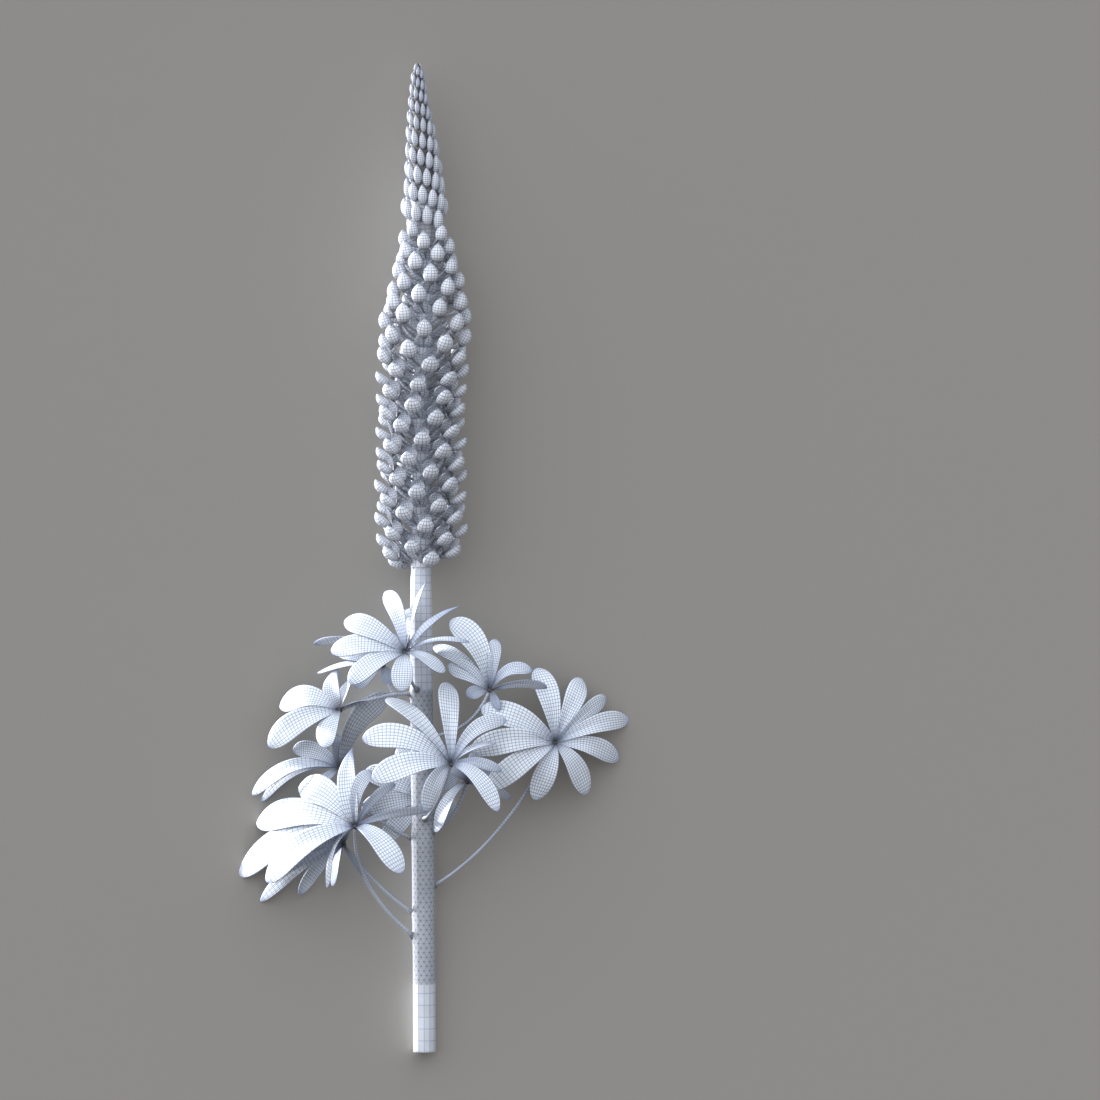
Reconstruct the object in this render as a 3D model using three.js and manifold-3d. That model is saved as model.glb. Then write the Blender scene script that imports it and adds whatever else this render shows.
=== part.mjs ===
// One cut stem of garden lupin lying on its side: a stalk, eleven palmate leaves and a tapering
// spike of flowers and buds. Millimetres, +Z up, the spike pointing along +Y.
import * as THREE from "three";
import Module from "manifold-3d";

const wasm = await Module();
wasm.setup();

// ---------- Driving dimensions ----------
// Places along the plant are heights y above the cut end. Knots are [y, value].
const STALK_LENGTH = 489;
const PLANT_LENGTH = 994;
const FIT_GAP = 0.3;

const STALK_RADIUS = [[0, 11.05], [150, 11.4], [400, 11.2], [STALK_LENGTH, 10.1]];
const STALK_SIDES = 12;
const STALK_RINGS = 13;

// The stalk's lower edge lies on the surface, and the widest part of the spike holds it up.
const AXIS_SIDEWAYS = [[0, 3], [STALK_LENGTH, 0], [654, 0], [772, 6], [854, 3.5], [976, -3]];
const AXIS_HEIGHT = [[0, 11.1], [STALK_LENGTH, 42.5], [700, 42.5], [PLANT_LENGTH, 29]];

// The flower spike: half its width, and the bare rachis that carries open flowers.
const SPIKE_HALF_WIDTH = [
  [489, 32], [512, 44], [529, 47], [654, 45.5], [694, 46.5], [757, 43.5], [787, 36],
  [818, 28], [854, 22.5], [882, 19], [914, 16], [944, 11.5], [976, 7.5], [994, 3.5],
];
const RACHIS_RADIUS = [[489, 10.1], [519, 9.4], [574, 8.8], [654, 8], [754, 7], [824, 6.4]];
const RACHIS_SIDES = 8;

// Flowers stand a golden angle apart from the foot of the spike up to where the buds begin. The
// first one's angle sets where they all stand, and it eases to a second value half-way up them.
const GOLDEN_ANGLE = 137.508;
const FIRST_FLOWER = 492;
const FIRST_TURN = [[640, -117.5], [680, -135.5]];
const FLOWER_RISE = 2.55;
const FLOWERS_OPEN_BELOW = 675;
const FLOWERS_SHUT_ABOVE = 745;
const BUDS_BEGIN = 824;
const FLOWER_WIDTH = [[489, 16.5], [654, 17], [700, 17], [740, 15.5], [787, 14.5], [824, 12]];
const FLOWER_LENGTH = [[489, 22.5], [654, 22.5], [720, 22], [824, 20]];
const FLOWER_SIDES = 5;
const PEDICEL_CLIMB = 9;
const ROOT_DEPTH = 2;
// How far a flower leans out, and its thickness as a share of its width.
const SHUT_FLOWER = { lean: 10, thickness: 0.92 };
const OPEN_FLOWER = { lean: 55, thickness: 0.56 };
// A flower's base stands back from the spike's outline, and lower by a share of its climb.
const FLOWER_INSET = 1;
const FLOWER_DROP = 0.35;
// Rings of a flower: [share of its length, share of its width].
const FLOWER_PROFILE = [[0, 0.3], [0.55, 1]];
// The banner is half an egg behind an open flower, with its flat side towards the flower.
const BANNER = {
  showsFrom: 0.1, length: 0.82, lean: 24, leanShare: 0.6, depth: 0.3, halfWidth: 0.42, widest: 0.55,
};

// Buds stand in two spiral rows that wind up to the tip, on a core that tapers with them.
const BUD_ROW_STARTS = [40, 220];
const FIRST_BUD_RISE = 8;
const BUD_ROW_PITCH = [[824, 20], [880, 19], [937, 16], [960, 12.5], [994, 11]];
const BUDS_PER_TURN = [[824, 11.3], [937, 10.5], [994, 7]];
const BUD_WIDTH = [[824, 11], [864, 9.6], [904, 7.4], [937, 5.6], [976, 4.2], [994, 3.8]];
const BUD_LENGTH = [[824, 21], [880, 19.5], [920, 17], [950, 13], [994, 9.5]];
const BUD_LEAN = 9;

const BLADE_THICKNESS = 0.9;
const PETIOLE_RADIUS = 2.3;
const PETIOLE_FOOT_RADIUS = 3.6;
const HUB_RADIUS = 3.6;

// ---------- Leaves ----------
// Each leaf has a hub [x, y, z], the slopes of its plane along x and y, the foot of its petiole on
// the stalk (height y and angle round it, 0 on top and 90 at +x), and the petiole's bend.
// Each leaflet is [reach x, reach y, width, lift of its tip above the plane, roll in degrees,
// sideways sweep of its middle].
const LEAVES = {
  leaf_top_front: {
    hub: [-15, 402, 92], slope: [0.15, -0.42], foot: [365, -25], bend: [-12, 372, 82],
    leaflets: [
      [-92, 8, 11, -26, -62, -4], [-74, 1, 22, 4], [-61, 31, 23, 8], [-21, 60, 18, -4, -12, 4],
      [4, 44, 15, -14, -10], [21, 71, 13, 4, -48], [55, 46, 10, 8, -30], [64, 11, 12, 4, -45],
      [40, -19, 19, 6, -38], [-3, -38, 22, 0], [-56, -30, 22, 4],
    ],
    pointed: [5, 6],
  },
  leaf_top_back: {
    hub: [-38, 388, 36], slope: [0.1, -0.05], foot: [342, -95], bend: [-32, 356, 34],
    leaflets: [
      [-66, -7, 12, -10, 62], [-48, 14, 15, -8], [-22, 34, 15, -4], [12, 32, 13, 0],
      [-28, -22, 14, -6], [8, -19, 14, -2],
    ],
  },
  leaf_upper_right: {
    hub: [69, 364, 62], slope: [-0.1, -0.3], foot: [318, 70], bend: [52, 322, 56],
    leaflets: [
      [-40, 69, 26, 6, 0, 7], [6, 51, 14, 10, 10], [-42, 25, 21, -12, -10], [-57, 43, 15, -28],
      [-23, -6, 14, -10, -20], [8, -20, 11, -2, 45], [42, 19, 13, 6, 0, -7], [57, 2, 12, -2, 60],
    ],
  },
  leaf_upper_left: {
    hub: [-81, 344, 42], slope: [0.36, -0.3], foot: [360, -80], bend: [-34, 362, 40],
    leaflets: [
      [-61, 2, 27, 0, 15, 6], [-72, -37, 26, -4, -8], [-17, -37, 27, 4, 15], [-2, 41, 20, 6, -15, -6],
      [14, 34, 14, 10, -30], [26, 9, 13, -6, 110],
    ],
    pointed: [3, 4],
  },
  leaf_front: {
    hub: [31, 291, 100], slope: [0, -0.5], foot: [236, 10], bend: [14, 240, 84],
    leaflets: [
      [-64, 66, 25, 20, 35], [-4, 81, 22, 0, 20], [55, 43, 16, 6, 20, -7], [43, 21, 13, -8, -40],
      [50, -7, 11, -10, 25], [46, -46, 17, -8, 15, -5], [-24, -46, 21, -4, -45, 4],
      [-78, -15, 26, 8, -10], [-88, 25, 26, 18, -10, 4],
    ],
  },
  leaf_middle_left: {
    hub: [-82, 285, 14], slope: [0.05, -0.1], foot: [214, -112], bend: [-58, 232, 10],
    leaflets: [
      [-88, -27, 18, -6, 30, 9], [-79, -34, 12, -14, 30, 8], [-47, 18, 18, 0, 0, 4],
      [-3, 34, 18, 4, -130], [49, 73, 25, 16, -150, -6], [-40, -40, 14, -8],
    ],
  },
  leaf_right: {
    hub: [134, 311, 42], slope: [-0.35, -0.15], foot: [167, 88], bend: [81, 208, 24],
    leaflets: [
      [-74, 34, 26, -2], [-18, 75, 25, -8], [27, 64, 22, -6], [52, 44, 18, -8, 20],
      [74, 22, 20, -14], [64, -18, 21, -16], [32, -52, 22, -16], [-20, -57, 24, -12],
      [-68, -46, 25, -6], [-84, -7, 26, -2],
    ],
  },
  leaf_lower_right: {
    hub: [46, 272, 40], slope: [-0.1, -0.1], foot: [222, 62], bend: [34, 230, 36],
    leaflets: [
      [-32, -50, 20, -4, 55, 4], [43, -18, 13, -6, 40], [36, 8, 16, -4], [12, 30, 15, 0],
      [-20, 20, 14, 6],
    ],
  },
  leaf_back: {
    hub: [6, 254, 6], slope: [0, 0], foot: [178, 180], bend: [2, 200, 5],
    leaflets: [
      [-63, 27, 23, -4], [-66, -12, 23, -4], [-45, -44, 20, -4], [-8, -46, 16, -4],
      [-30, 52, 20, -4], [4, 52, 18, -2], [30, 24, 17, -4], [28, -14, 16, -4],
    ],
  },
  leaf_lower_left: {
    hub: [-65, 228, 56], slope: [0.4, -0.45], foot: [116, -78], bend: [-72, 170, 24],
    leaflets: [
      [-101, 1, 33, -14], [-118, -51, 32, -34], [-90, -56, 29, -10], [-29, -61, 25, -14, 50, 4],
      [47, -45, 25, -8, -30, -4], [-58, 38, 31, 2, 0, 5], [-3, 78, 21, 14, 0, -4],
      [16, 55, 15, 18, 30, -5], [40, 42, 11, 6, 60], [73, 16, 12, -6, 66, 4],
    ],
    pointed: [6],
  },
  leaf_lowest_left: {
    hub: [-78, 209, 20], slope: [0.1, 0], foot: [139, -100], bend: [-48, 166, 12],
    leaflets: [
      [-84, -58, 15, -10, 20], [-45, -51, 13, -8], [22, -34, 12, 2, 110], [-66, -12, 16, -10],
      [-50, 20, 17, -8], [-24, 40, 16, -4], [10, 36, 14, -2], [-12, -42, 14, -6, 50],
    ],
  },
};
const LEAFLET_ARCH = 0.16;
const ARCH_TOWARDS_SPIKE = 0.5;
const LEAFLET_CHANNEL = 0.3;
// Stations along a leaflet: [share of its length, share of its width]. Few leaflets are pointed.
const LEAFLET_OUTLINE = [[0.01, 0], [0.24, 0.42], [0.62, 1], [0.88, 0.76], [1, 0]];
const POINTED_OUTLINE = [[0.01, 0], [0.22, 0.78], [0.5, 1], [0.8, 0.6], [1, 0]];

// ---------- Small helpers ----------
const radians = THREE.MathUtils.degToRad;
const vector = (x, y, z) => new THREE.Vector3(x, y, z);

// The value at y of a line through knots, either straight or easing from each knot to the next.
function along(knots, y, shape = (t) => t) {
  const next = knots.findIndex(([at]) => y <= at);
  if (next < 0) return knots[knots.length - 1][1];
  if (next === 0) return knots[0][1];
  const [y0, v0] = knots[next - 1];
  const [y1, v1] = knots[next];
  return v0 + (v1 - v0) * shape((y - y0) / (y1 - y0));
}
const ease = (t) => t * t * (3 - 2 * t);

// Where the plant's axis is at height y, and the directions along, beside and above it there.
function axisAt(y) {
  const place = (h) => vector(along(AXIS_SIDEWAYS, h, ease), h, along(AXIS_HEIGHT, h, ease));
  const tangent = place(y + 0.5).sub(place(y - 0.5)).normalize();
  const side = tangent.clone().cross(vector(0, 0, 1)).normalize();
  return { centre: place(y), tangent, side, up: side.clone().cross(tangent) };
}

// The outward direction at an angle round the axis: 0 is up and 90 is towards +x.
function outward(frame, degrees) {
  const turn = radians(degrees);
  return frame.up.clone().multiplyScalar(Math.cos(turn))
    .addScaledVector(frame.side, Math.sin(turn));
}

// An ellipse of points round a centre, starting at the direction v and turning towards u.
function ring(centre, u, v, halfU, halfV, sides, phase = 0) {
  return Array.from({ length: sides }, (_, i) => {
    const turn = ((i + phase) / sides) * 2 * Math.PI;
    return centre.clone().addScaledVector(v, Math.cos(turn) * halfV)
      .addScaledVector(u, Math.sin(turn) * halfU);
  });
}

// A closed skin over a row of rings, each of the same number of points or of one point at an end.
function loft(rings) {
  const points = rings.flat();
  const faces = [];
  const sides = Math.max(...rings.map((r) => r.length));
  let start = 0;
  rings.slice(1).forEach((after, k) => {
    const before = rings[k];
    const next = start + before.length;
    for (let i = 0; i < sides; i++) {
      const j = (i + 1) % sides;
      if (after.length > 1) faces.push(start + (before.length > 1 ? i : 0), next + j, next + i);
      if (before.length > 1) faces.push(start + i, start + j, next + (after.length > 1 ? j : 0));
    }
    start = next;
  });
  for (let i = 1; i < sides - 1; i++) {
    if (rings[0].length > 1) faces.push(0, i + 1, i);
    if (rings[rings.length - 1].length > 1) faces.push(start, start + i, start + i + 1);
  }
  return solidOf(points, faces);
}

// A closed plate of one thickness over rows of three points, or of one point at a pointed end.
// Each row has the direction that it faces. What would sink into the surface is pressed flat on it.
function plate(rows, thickness) {
  const layer = (share) => rows.flatMap(({ points, face }) => points.map((p) => {
    const moved = p.clone().addScaledVector(face, (share - 0.5) * thickness);
    return moved.setZ(Math.max(moved.z, share * thickness));
  }));
  const upper = layer(1);
  const firstOf = [];
  let count = 0;
  for (const { points } of rows) {
    firstOf.push(count);
    count += points.length;
  }
  const at = (i, j) => firstOf[i] + (rows[i].points.length === 1 ? 0 : j);
  const faces = [];
  const add = (a, b, c) => {
    if (a !== b && b !== c && c !== a) faces.push(a, b, c);
  };
  const wall = (a, b) => {
    add(a, b, a + count);
    add(b, b + count, a + count);
  };
  for (let i = 0; i < rows.length - 1; i++) {
    for (const j of [0, 1]) {
      const [a, b, c, d] = [at(i, j), at(i, j + 1), at(i + 1, j + 1), at(i + 1, j)];
      const halves = j === 0 ? [[a, b, c], [a, c, d]] : [[a, b, d], [b, c, d]];
      for (const [p, q, r] of halves) {
        add(p, q, r);
        add(p + count, r + count, q + count);
      }
    }
    wall(at(i, 0), at(i + 1, 0));
    wall(at(i + 1, 2), at(i, 2));
  }
  return solidOf([...upper, ...layer(0)], faces);
}

function solidOf(points, faces) {
  const vertProperties = new Float32Array(points.flatMap((p) => p.toArray()));
  return new wasm.Manifold(
    new wasm.Mesh({ numProp: 3, vertProperties, triVerts: new Uint32Array(faces) }));
}

function fuse(solids) {
  let row = solids;
  while (row.length > 1) {
    const pairs = [];
    for (let i = 0; i < row.length; i += 2) {
      pairs.push(i + 1 < row.length ? row[i].add(row[i + 1]) : row[i]);
    }
    row = pairs;
  }
  return row[0];
}

// ---------- Stalk ----------
function tube(fromY, toY, rings, radiusAt, sides, phase) {
  return loft(Array.from({ length: rings }, (_, k) => {
    const y = fromY + ((toY - fromY) * k) / (rings - 1);
    const frame = axisAt(y);
    return ring(frame.centre, frame.side, frame.up, radiusAt(y), radiusAt(y), sides, phase);
  }));
}

function stalk(extra = 0) {
  const radiusAt = (y) => along(STALK_RADIUS, y) + extra;
  return tube(0, STALK_LENGTH - FIT_GAP, STALK_RINGS, radiusAt, STALK_SIDES, 0.5);
}

// ---------- Flower spike ----------
// A shape that runs from a root inside the rachis along a pedicel and swells to a pointed egg.
function egg(root, base, direction, outside, width, thickness, length, sides, profile) {
  const u = direction.clone().cross(outside).normalize();
  const v = u.clone().cross(direction);
  const at = (share, size) => ring(base.clone().addScaledVector(direction, share * length),
    u, v, (size * width) / 2, (size * thickness) / 2, sides, 0);
  const tip = [base.clone().addScaledVector(direction, length)];
  return loft([[root], ...profile.map(([share, size]) => at(share, size)), tip]);
}

// The upright petal behind an open flower: two edges and a back that meet at its foot and tip.
function banner(base, direction, outside, width, length) {
  const u = direction.clone().cross(outside).normalize();
  const v = u.clone().cross(direction);
  const middle = base.clone().addScaledVector(direction, BANNER.widest * length);
  const edge = (share) => middle.clone().addScaledVector(u, share * width);
  const back = middle.clone().addScaledVector(v, -BANNER.depth * width);
  const tip = base.clone().addScaledVector(direction, length);
  return loft([[base], [edge(BANNER.halfWidth), back, edge(-BANNER.halfWidth)], [tip]]);
}

// A direction that rises along the plant's axis and leans out from it.
function leaning(frame, out, degrees) {
  const lean = radians(degrees);
  return frame.tangent.clone().multiplyScalar(Math.cos(lean)).addScaledVector(out, Math.sin(lean));
}

// A flower on its pedicel: a keel that leans out, with a banner behind it once it is open.
function flower(index) {
  const y = FIRST_FLOWER + index * FLOWER_RISE;
  const open = THREE.MathUtils.clamp(
    (FLOWERS_SHUT_ABOVE - y) / (FLOWERS_SHUT_ABOVE - FLOWERS_OPEN_BELOW), 0, 1);
  const frame = axisAt(y);
  const turn = along(FIRST_TURN, y, ease) + index * GOLDEN_ANGLE;
  const out = outward(frame, turn);
  const width = along(FLOWER_WIDTH, y);
  const length = along(FLOWER_LENGTH, y);
  const thickness = width * THREE.MathUtils.lerp(SHUT_FLOWER.thickness, OPEN_FLOWER.thickness, open);
  const degrees = THREE.MathUtils.lerp(SHUT_FLOWER.lean, OPEN_FLOWER.lean, open);
  const direction = leaning(frame, out, degrees);
  const climb = length * Math.cos(radians(degrees));
  const spread = length * Math.sin(radians(degrees));
  const reach = along(SPIKE_HALF_WIDTH, y + climb * 0.5);
  const baseReach = open > 0 ? reach - spread - FLOWER_INSET : reach - thickness / 2 - spread * 0.4;
  const base = frame.centre.clone().addScaledVector(out, baseReach)
    .addScaledVector(frame.tangent, -climb * FLOWER_DROP);
  const rootFrame = axisAt(Math.max(y - PEDICEL_CLIMB - climb * 0.3, STALK_LENGTH + ROOT_DEPTH));
  const root = rootFrame.centre.clone()
    .addScaledVector(outward(rootFrame, turn), ROOT_DEPTH);
  const keel = egg(root, base, direction, out, width, thickness, length, FLOWER_SIDES, FLOWER_PROFILE);
  if (open < BANNER.showsFrom) return [keel];
  const petalBase = base.clone().addScaledVector(direction, ROOT_DEPTH);
  const upright = leaning(frame, out, Math.min(BANNER.lean, degrees * BANNER.leanShare));
  return [keel, banner(petalBase, upright, out, width, length * BANNER.length)];
}

function bud(y, degrees) {
  const frame = axisAt(y);
  const out = outward(frame, degrees);
  const width = along(BUD_WIDTH, y);
  const length = along(BUD_LENGTH, y);
  const direction = leaning(frame, out, BUD_LEAN);
  const reach = Math.max(along(SPIKE_HALF_WIDTH, y) - width * 0.5, width * 0.2);
  const base = frame.centre.clone().addScaledVector(out, reach)
    .addScaledVector(direction, -length * 0.45);
  const root = base.clone().addScaledVector(out, -width * 0.5)
    .addScaledVector(direction, length * 0.12);
  return egg(root, base, direction, out, width, width * 0.92, length, 4, [[0.38, 1]]);
}

// Two spiral rows of buds, half a turn apart, sinking to the right across the top.
function buds() {
  const made = [];
  for (const start of BUD_ROW_STARTS) {
    let y = BUDS_BEGIN + FIRST_BUD_RISE;
    let degrees = start;
    while (y < PLANT_LENGTH - FIRST_BUD_RISE) {
      made.push(bud(y, degrees));
      const perTurn = along(BUDS_PER_TURN, y);
      degrees -= 360 / perTurn;
      y += (BUD_ROW_STARTS.length * along(BUD_ROW_PITCH, y)) / perTurn;
    }
  }
  return made;
}

// The rachis runs up to the buds, and a core that tapers to the tip carries them.
function flowerSpike() {
  const rachis = tube(STALK_LENGTH, BUDS_BEGIN, 9, (y) => along(RACHIS_RADIUS, y), RACHIS_SIDES, 0.5);
  const coreRadius = (y) =>
    Math.max(1.2, along(SPIKE_HALF_WIDTH, y) - along(BUD_WIDTH, y) * 0.8);
  const core = tube(BUDS_BEGIN - 6, PLANT_LENGTH - 4, 8, coreRadius, RACHIS_SIDES, 0.5);
  const count = Math.floor((BUDS_BEGIN - FIRST_FLOWER) / FLOWER_RISE);
  const flowers = Array.from({ length: count }, (_, i) => flower(i)).flat();
  const whole = fuse([rachis, core, ...flowers, ...buds()]);
  return whole.subtract(surfaceBelow());
}

// The space under the surface that the plant lies on: what would press into it is cut flat.
function surfaceBelow() {
  const reach = 700;
  const corners = (z) => [[-reach, -reach], [reach, -reach], [reach, reach], [-reach, reach]]
    .map(([x, y]) => vector(x, y + PLANT_LENGTH / 2, z));
  return loft([corners(-100), corners(0)]);
}

// ---------- Leaves ----------
// A leaflet's rib runs on a parabola from the hub to its tip, arched along the leaf's upper side,
// and its edges stand a little above the rib.
function leaflet(hub, normal, slope, outline, [dx, dy, width, lift = 0, roll = 0, sweep = 0]) {
  const tip = hub.clone().add(vector(dx, dy, slope[0] * dx + slope[1] * dy + lift));
  const chord = tip.clone().sub(hub);
  const arch = normal.clone().add(vector(0, ARCH_TOWARDS_SPIKE, 0)).normalize();
  const middle = hub.clone().addScaledVector(chord, 0.5)
    .addScaledVector(arch, LEAFLET_ARCH * 2 * chord.length())
    .addScaledVector(chord.clone().cross(normal).normalize(), 2 * sweep);
  const rib = new THREE.QuadraticBezierCurve3(hub, middle, tip);
  const rows = outline.map(([share, size]) => {
    const tangent = rib.getTangent(share);
    const side = tangent.clone().cross(normal).normalize()
      .applyAxisAngle(tangent, radians(roll));
    const face = side.clone().cross(tangent);
    const half = (size * width) / 2;
    const across = size > 0 ? [-1, 0, 1] : [0];
    const points = across.map((s) => rib.getPoint(share).addScaledVector(side, s * half)
      .addScaledVector(face, Math.abs(s) * half * LEAFLET_CHANNEL));
    return { points, face };
  });
  return plate(rows, BLADE_THICKNESS);
}

function petiole(hub, foot, bend) {
  const frame = axisAt(foot[0]);
  const out = outward(frame, foot[1]);
  const start = frame.centre.clone().addScaledVector(out, along(STALK_RADIUS, foot[0]) * 0.6);
  const curve = new THREE.QuadraticBezierCurve3(start, vector(...bend), hub);
  const stations = [0, 0.14, 0.4, 0.7, 1];
  return loft(stations.map((t) => {
    const tangent = curve.getTangent(t);
    const side = tangent.clone().cross(vector(0, 0, 1)).normalize();
    const up = side.clone().cross(tangent);
    const radius = t === 0 ? PETIOLE_FOOT_RADIUS : PETIOLE_RADIUS;
    return ring(curve.getPoint(t), side, up, radius, radius, 5);
  }));
}

function hubKnob(hub, normal) {
  const across = vector(1, 0, 0).cross(normal).normalize();
  const other = across.clone().cross(normal);
  const at = (share, size) => ring(hub.clone().addScaledVector(normal, share * HUB_RADIUS),
    other, across, size * HUB_RADIUS, size * HUB_RADIUS, 6);
  return loft([[hub.clone().addScaledVector(normal, HUB_RADIUS)], at(0, 1),
    [hub.clone().addScaledVector(normal, -HUB_RADIUS)]]);
}

function leaf({ hub, slope, foot, bend, leaflets, pointed = [] }, clearance) {
  const centre = vector(...hub);
  const normal = vector(-slope[0], -slope[1], 1).normalize();
  const outline = (index) => (pointed.includes(index) ? POINTED_OUTLINE : LEAFLET_OUTLINE);
  const blades = leaflets.map((spec, index) => leaflet(centre, normal, slope, outline(index), spec));
  const stem = petiole(centre, foot, bend).subtract(clearance);
  return fuse([stem, hubKnob(centre, normal), ...blades]);
}

// ---------- The plant ----------
function mesh(name, solid, colour, roughness) {
  const { vertProperties, triVerts } = solid.getMesh();
  const geometry = new THREE.BufferGeometry()
    .setAttribute("position", new THREE.BufferAttribute(vertProperties, 3))
    .setIndex(new THREE.BufferAttribute(triVerts, 1));
  const material = new THREE.MeshStandardMaterial({ color: colour, roughness, metalness: 0 });
  const made = new THREE.Mesh(geometry, material);
  made.name = name;
  return made;
}

const plant = new THREE.Group();
plant.add(mesh("stem", stalk(), "#c5cbdc", 0.6));
plant.add(mesh("flower_spike", flowerSpike(), "#bcc3d4", 0.62));
const clearance = stalk(FIT_GAP);
for (const [name, spec] of Object.entries(LEAVES)) {
  plant.add(mesh(name, leaf(spec, clearance), "#d3dfec", 0.5));
}

// The origin is on the surface, under the middle of the plant's box.
const box = new THREE.Box3().setFromObject(plant);
const middle = box.getCenter(vector(0, 0, 0));
plant.position.set(-middle.x, -middle.y, -box.min.z);

const part = new THREE.Group();
part.add(plant);
export default part;
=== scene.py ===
# %% [markdown]
# # A cut lupin stem, dressed with numpy surfaces
#
# The object is one cut stem of garden lupin that lies on its side: a bare stalk, eleven palmate
# leaves on curved leaf stalks, and a half-metre spike of pea flowers that shut and shrink into
# buds towards its tip. It is shown as a clay study, pale and matte, with the fine net of lines
# that a modeller sees over every surface.
#
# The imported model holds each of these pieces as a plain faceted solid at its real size. This
# lesson puts a fine surface in the place of every solid. A plant is all curved tubes, blades and
# eggs, so one idea carries the whole file: a surface is a grid of points worked out by a formula,
# for all its copies at once, and one helper turns such grids into meshes with the net's cells
# counted in their UV map.

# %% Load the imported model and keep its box
import math

import bpy
import numpy as np
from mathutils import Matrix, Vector


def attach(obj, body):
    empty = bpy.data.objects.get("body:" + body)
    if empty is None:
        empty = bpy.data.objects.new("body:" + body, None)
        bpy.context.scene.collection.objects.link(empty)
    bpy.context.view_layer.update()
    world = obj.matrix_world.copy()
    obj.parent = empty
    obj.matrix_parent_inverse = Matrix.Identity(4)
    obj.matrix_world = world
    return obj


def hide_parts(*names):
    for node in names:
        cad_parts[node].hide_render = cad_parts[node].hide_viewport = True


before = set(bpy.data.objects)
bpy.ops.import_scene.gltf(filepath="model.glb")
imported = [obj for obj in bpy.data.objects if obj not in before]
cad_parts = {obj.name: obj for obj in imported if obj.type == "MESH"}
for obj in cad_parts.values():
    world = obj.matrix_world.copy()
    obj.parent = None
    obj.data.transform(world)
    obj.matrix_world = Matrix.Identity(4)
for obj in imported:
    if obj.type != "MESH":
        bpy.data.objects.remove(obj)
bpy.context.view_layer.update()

# %% [markdown]
# The shapes are easiest to think of in millimetres, with y counted from the cut end towards the
# tip of the spike, x to the right and z up from the surface that the stem lies on. The packed
# model has its origin under the middle of the whole plant instead. One shift joins the two: the
# middle of the stalk's cut end is known in both.

# %% Millimetres from the cut end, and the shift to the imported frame
MILLIMETRE = 0.001
STALK_RADIUS = [[0, 11.05], [150, 11.4], [400, 11.2], [489, 10.1]]
AXIS_SIDEWAYS = [[0, 3], [489, 0], [654, 0], [772, 6], [854, 3.5], [976, -3]]
AXIS_HEIGHT = [[0, 11.1], [489, 42.5], [700, 42.5], [994, 29]]
STALK_LENGTH = 489
PLANT_LENGTH = 994

stalk_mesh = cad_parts["stem"].data
stalk_points = np.empty(len(stalk_mesh.vertices) * 3)
stalk_mesh.vertices.foreach_get("co", stalk_points)
stalk_points = stalk_points.reshape(-1, 3) / MILLIMETRE
cut_ring = stalk_points[stalk_points[:, 1] < stalk_points[:, 1].min() + 1]
cut_middle = (cut_ring.min(axis=0) + cut_ring.max(axis=0)) / 2
TO_FRAME = cut_middle - np.array([AXIS_SIDEWAYS[0][1], 0, AXIS_HEIGHT[0][1]])
print("shift to the packed frame in mm:", TO_FRAME.round(3))


def in_frame(points):
    """Points in millimetres from the cut end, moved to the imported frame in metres."""
    return (np.asarray(points, float) + TO_FRAME) * MILLIMETRE


# %% [markdown]
# ## The view
#
# A stem with no vase lies down, so the camera looks straight down on it, with the spike's tip at
# the top of the picture. A long lens far away keeps the stalk's sides parallel, as a portrait
# of a whole plant has them. Its view is measured at the plant's middle height. The floor is plain
# and pale, and a little darker than the leaves, so that their rims stand out from it.
#
# The light could be one even dome, but then nothing would model the round flowers. A strong key
# sun on the left, a little below the level of the floor, whitens the left rims, and a wide fill
# sun from the left above softens the step. The rest is a sky that is cool and bright on the side
# of the spike's tip and a dim warm brown on the side of the cut end, so that what faces away
# from the tip falls into warm shade.
#
# A floor would block a sun that stands below it, so light linking takes the floor out: it
# neither receives the key nor blocks it, and it doesn't receive the fill. The floor keeps only
# the soft shade that the sky leaves under the leaves. One leaf that lies close over the floor
# is kept out of the key too, because light on its underside would glow on the floor below it,
# and so is the inside of the spike, where it would show as white specks between the flowers.

# %% The camera, straight above
VIEW_CENTRE = (129, 504, 0)
VIEW_WIDTH = 1100
CAMERA_HEIGHT = 8000
MIDDLE_HEIGHT = 40
SENSOR = 36

camera_data = bpy.data.cameras.new("camera")
camera_data.sensor_width = SENSOR
camera_data.lens = SENSOR * (CAMERA_HEIGHT - MIDDLE_HEIGHT) / VIEW_WIDTH
camera = bpy.data.objects.new("camera", camera_data)
camera.location = in_frame(np.add(VIEW_CENTRE, (0, 0, CAMERA_HEIGHT)))
bpy.context.scene.collection.objects.link(camera)
bpy.context.scene.camera = camera
bpy.context.scene.view_settings.view_transform = "Standard"
print(f"lens {camera_data.lens:.1f} mm at {CAMERA_HEIGHT} mm")


# %% The floor
FLOOR_REACH = 30
FLOOR_GREY = (0.40, 0.38, 0.35)
FLOOR_ROUGHNESS = 0.95
floor_mesh = bpy.data.meshes.new("floor")
corners = [(-1, -1), (1, -1), (1, 1), (-1, 1)]
floor_mesh.from_pydata([(x * FLOOR_REACH, y * FLOOR_REACH, 0) for x, y in corners], [], [(0, 1, 2, 3)])
floor_card = bpy.data.materials.new("floor_card")
floor_card.use_nodes = True
floor_shader = floor_card.node_tree.nodes["Principled BSDF"]
floor_shader.inputs["Base Color"].default_value = (*FLOOR_GREY, 1)
floor_shader.inputs["Roughness"].default_value = FLOOR_ROUGHNESS
floor_mesh.materials.append(floor_card)
floor = bpy.data.objects.new("floor", floor_mesh)
bpy.context.scene.collection.objects.link(floor)


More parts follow.
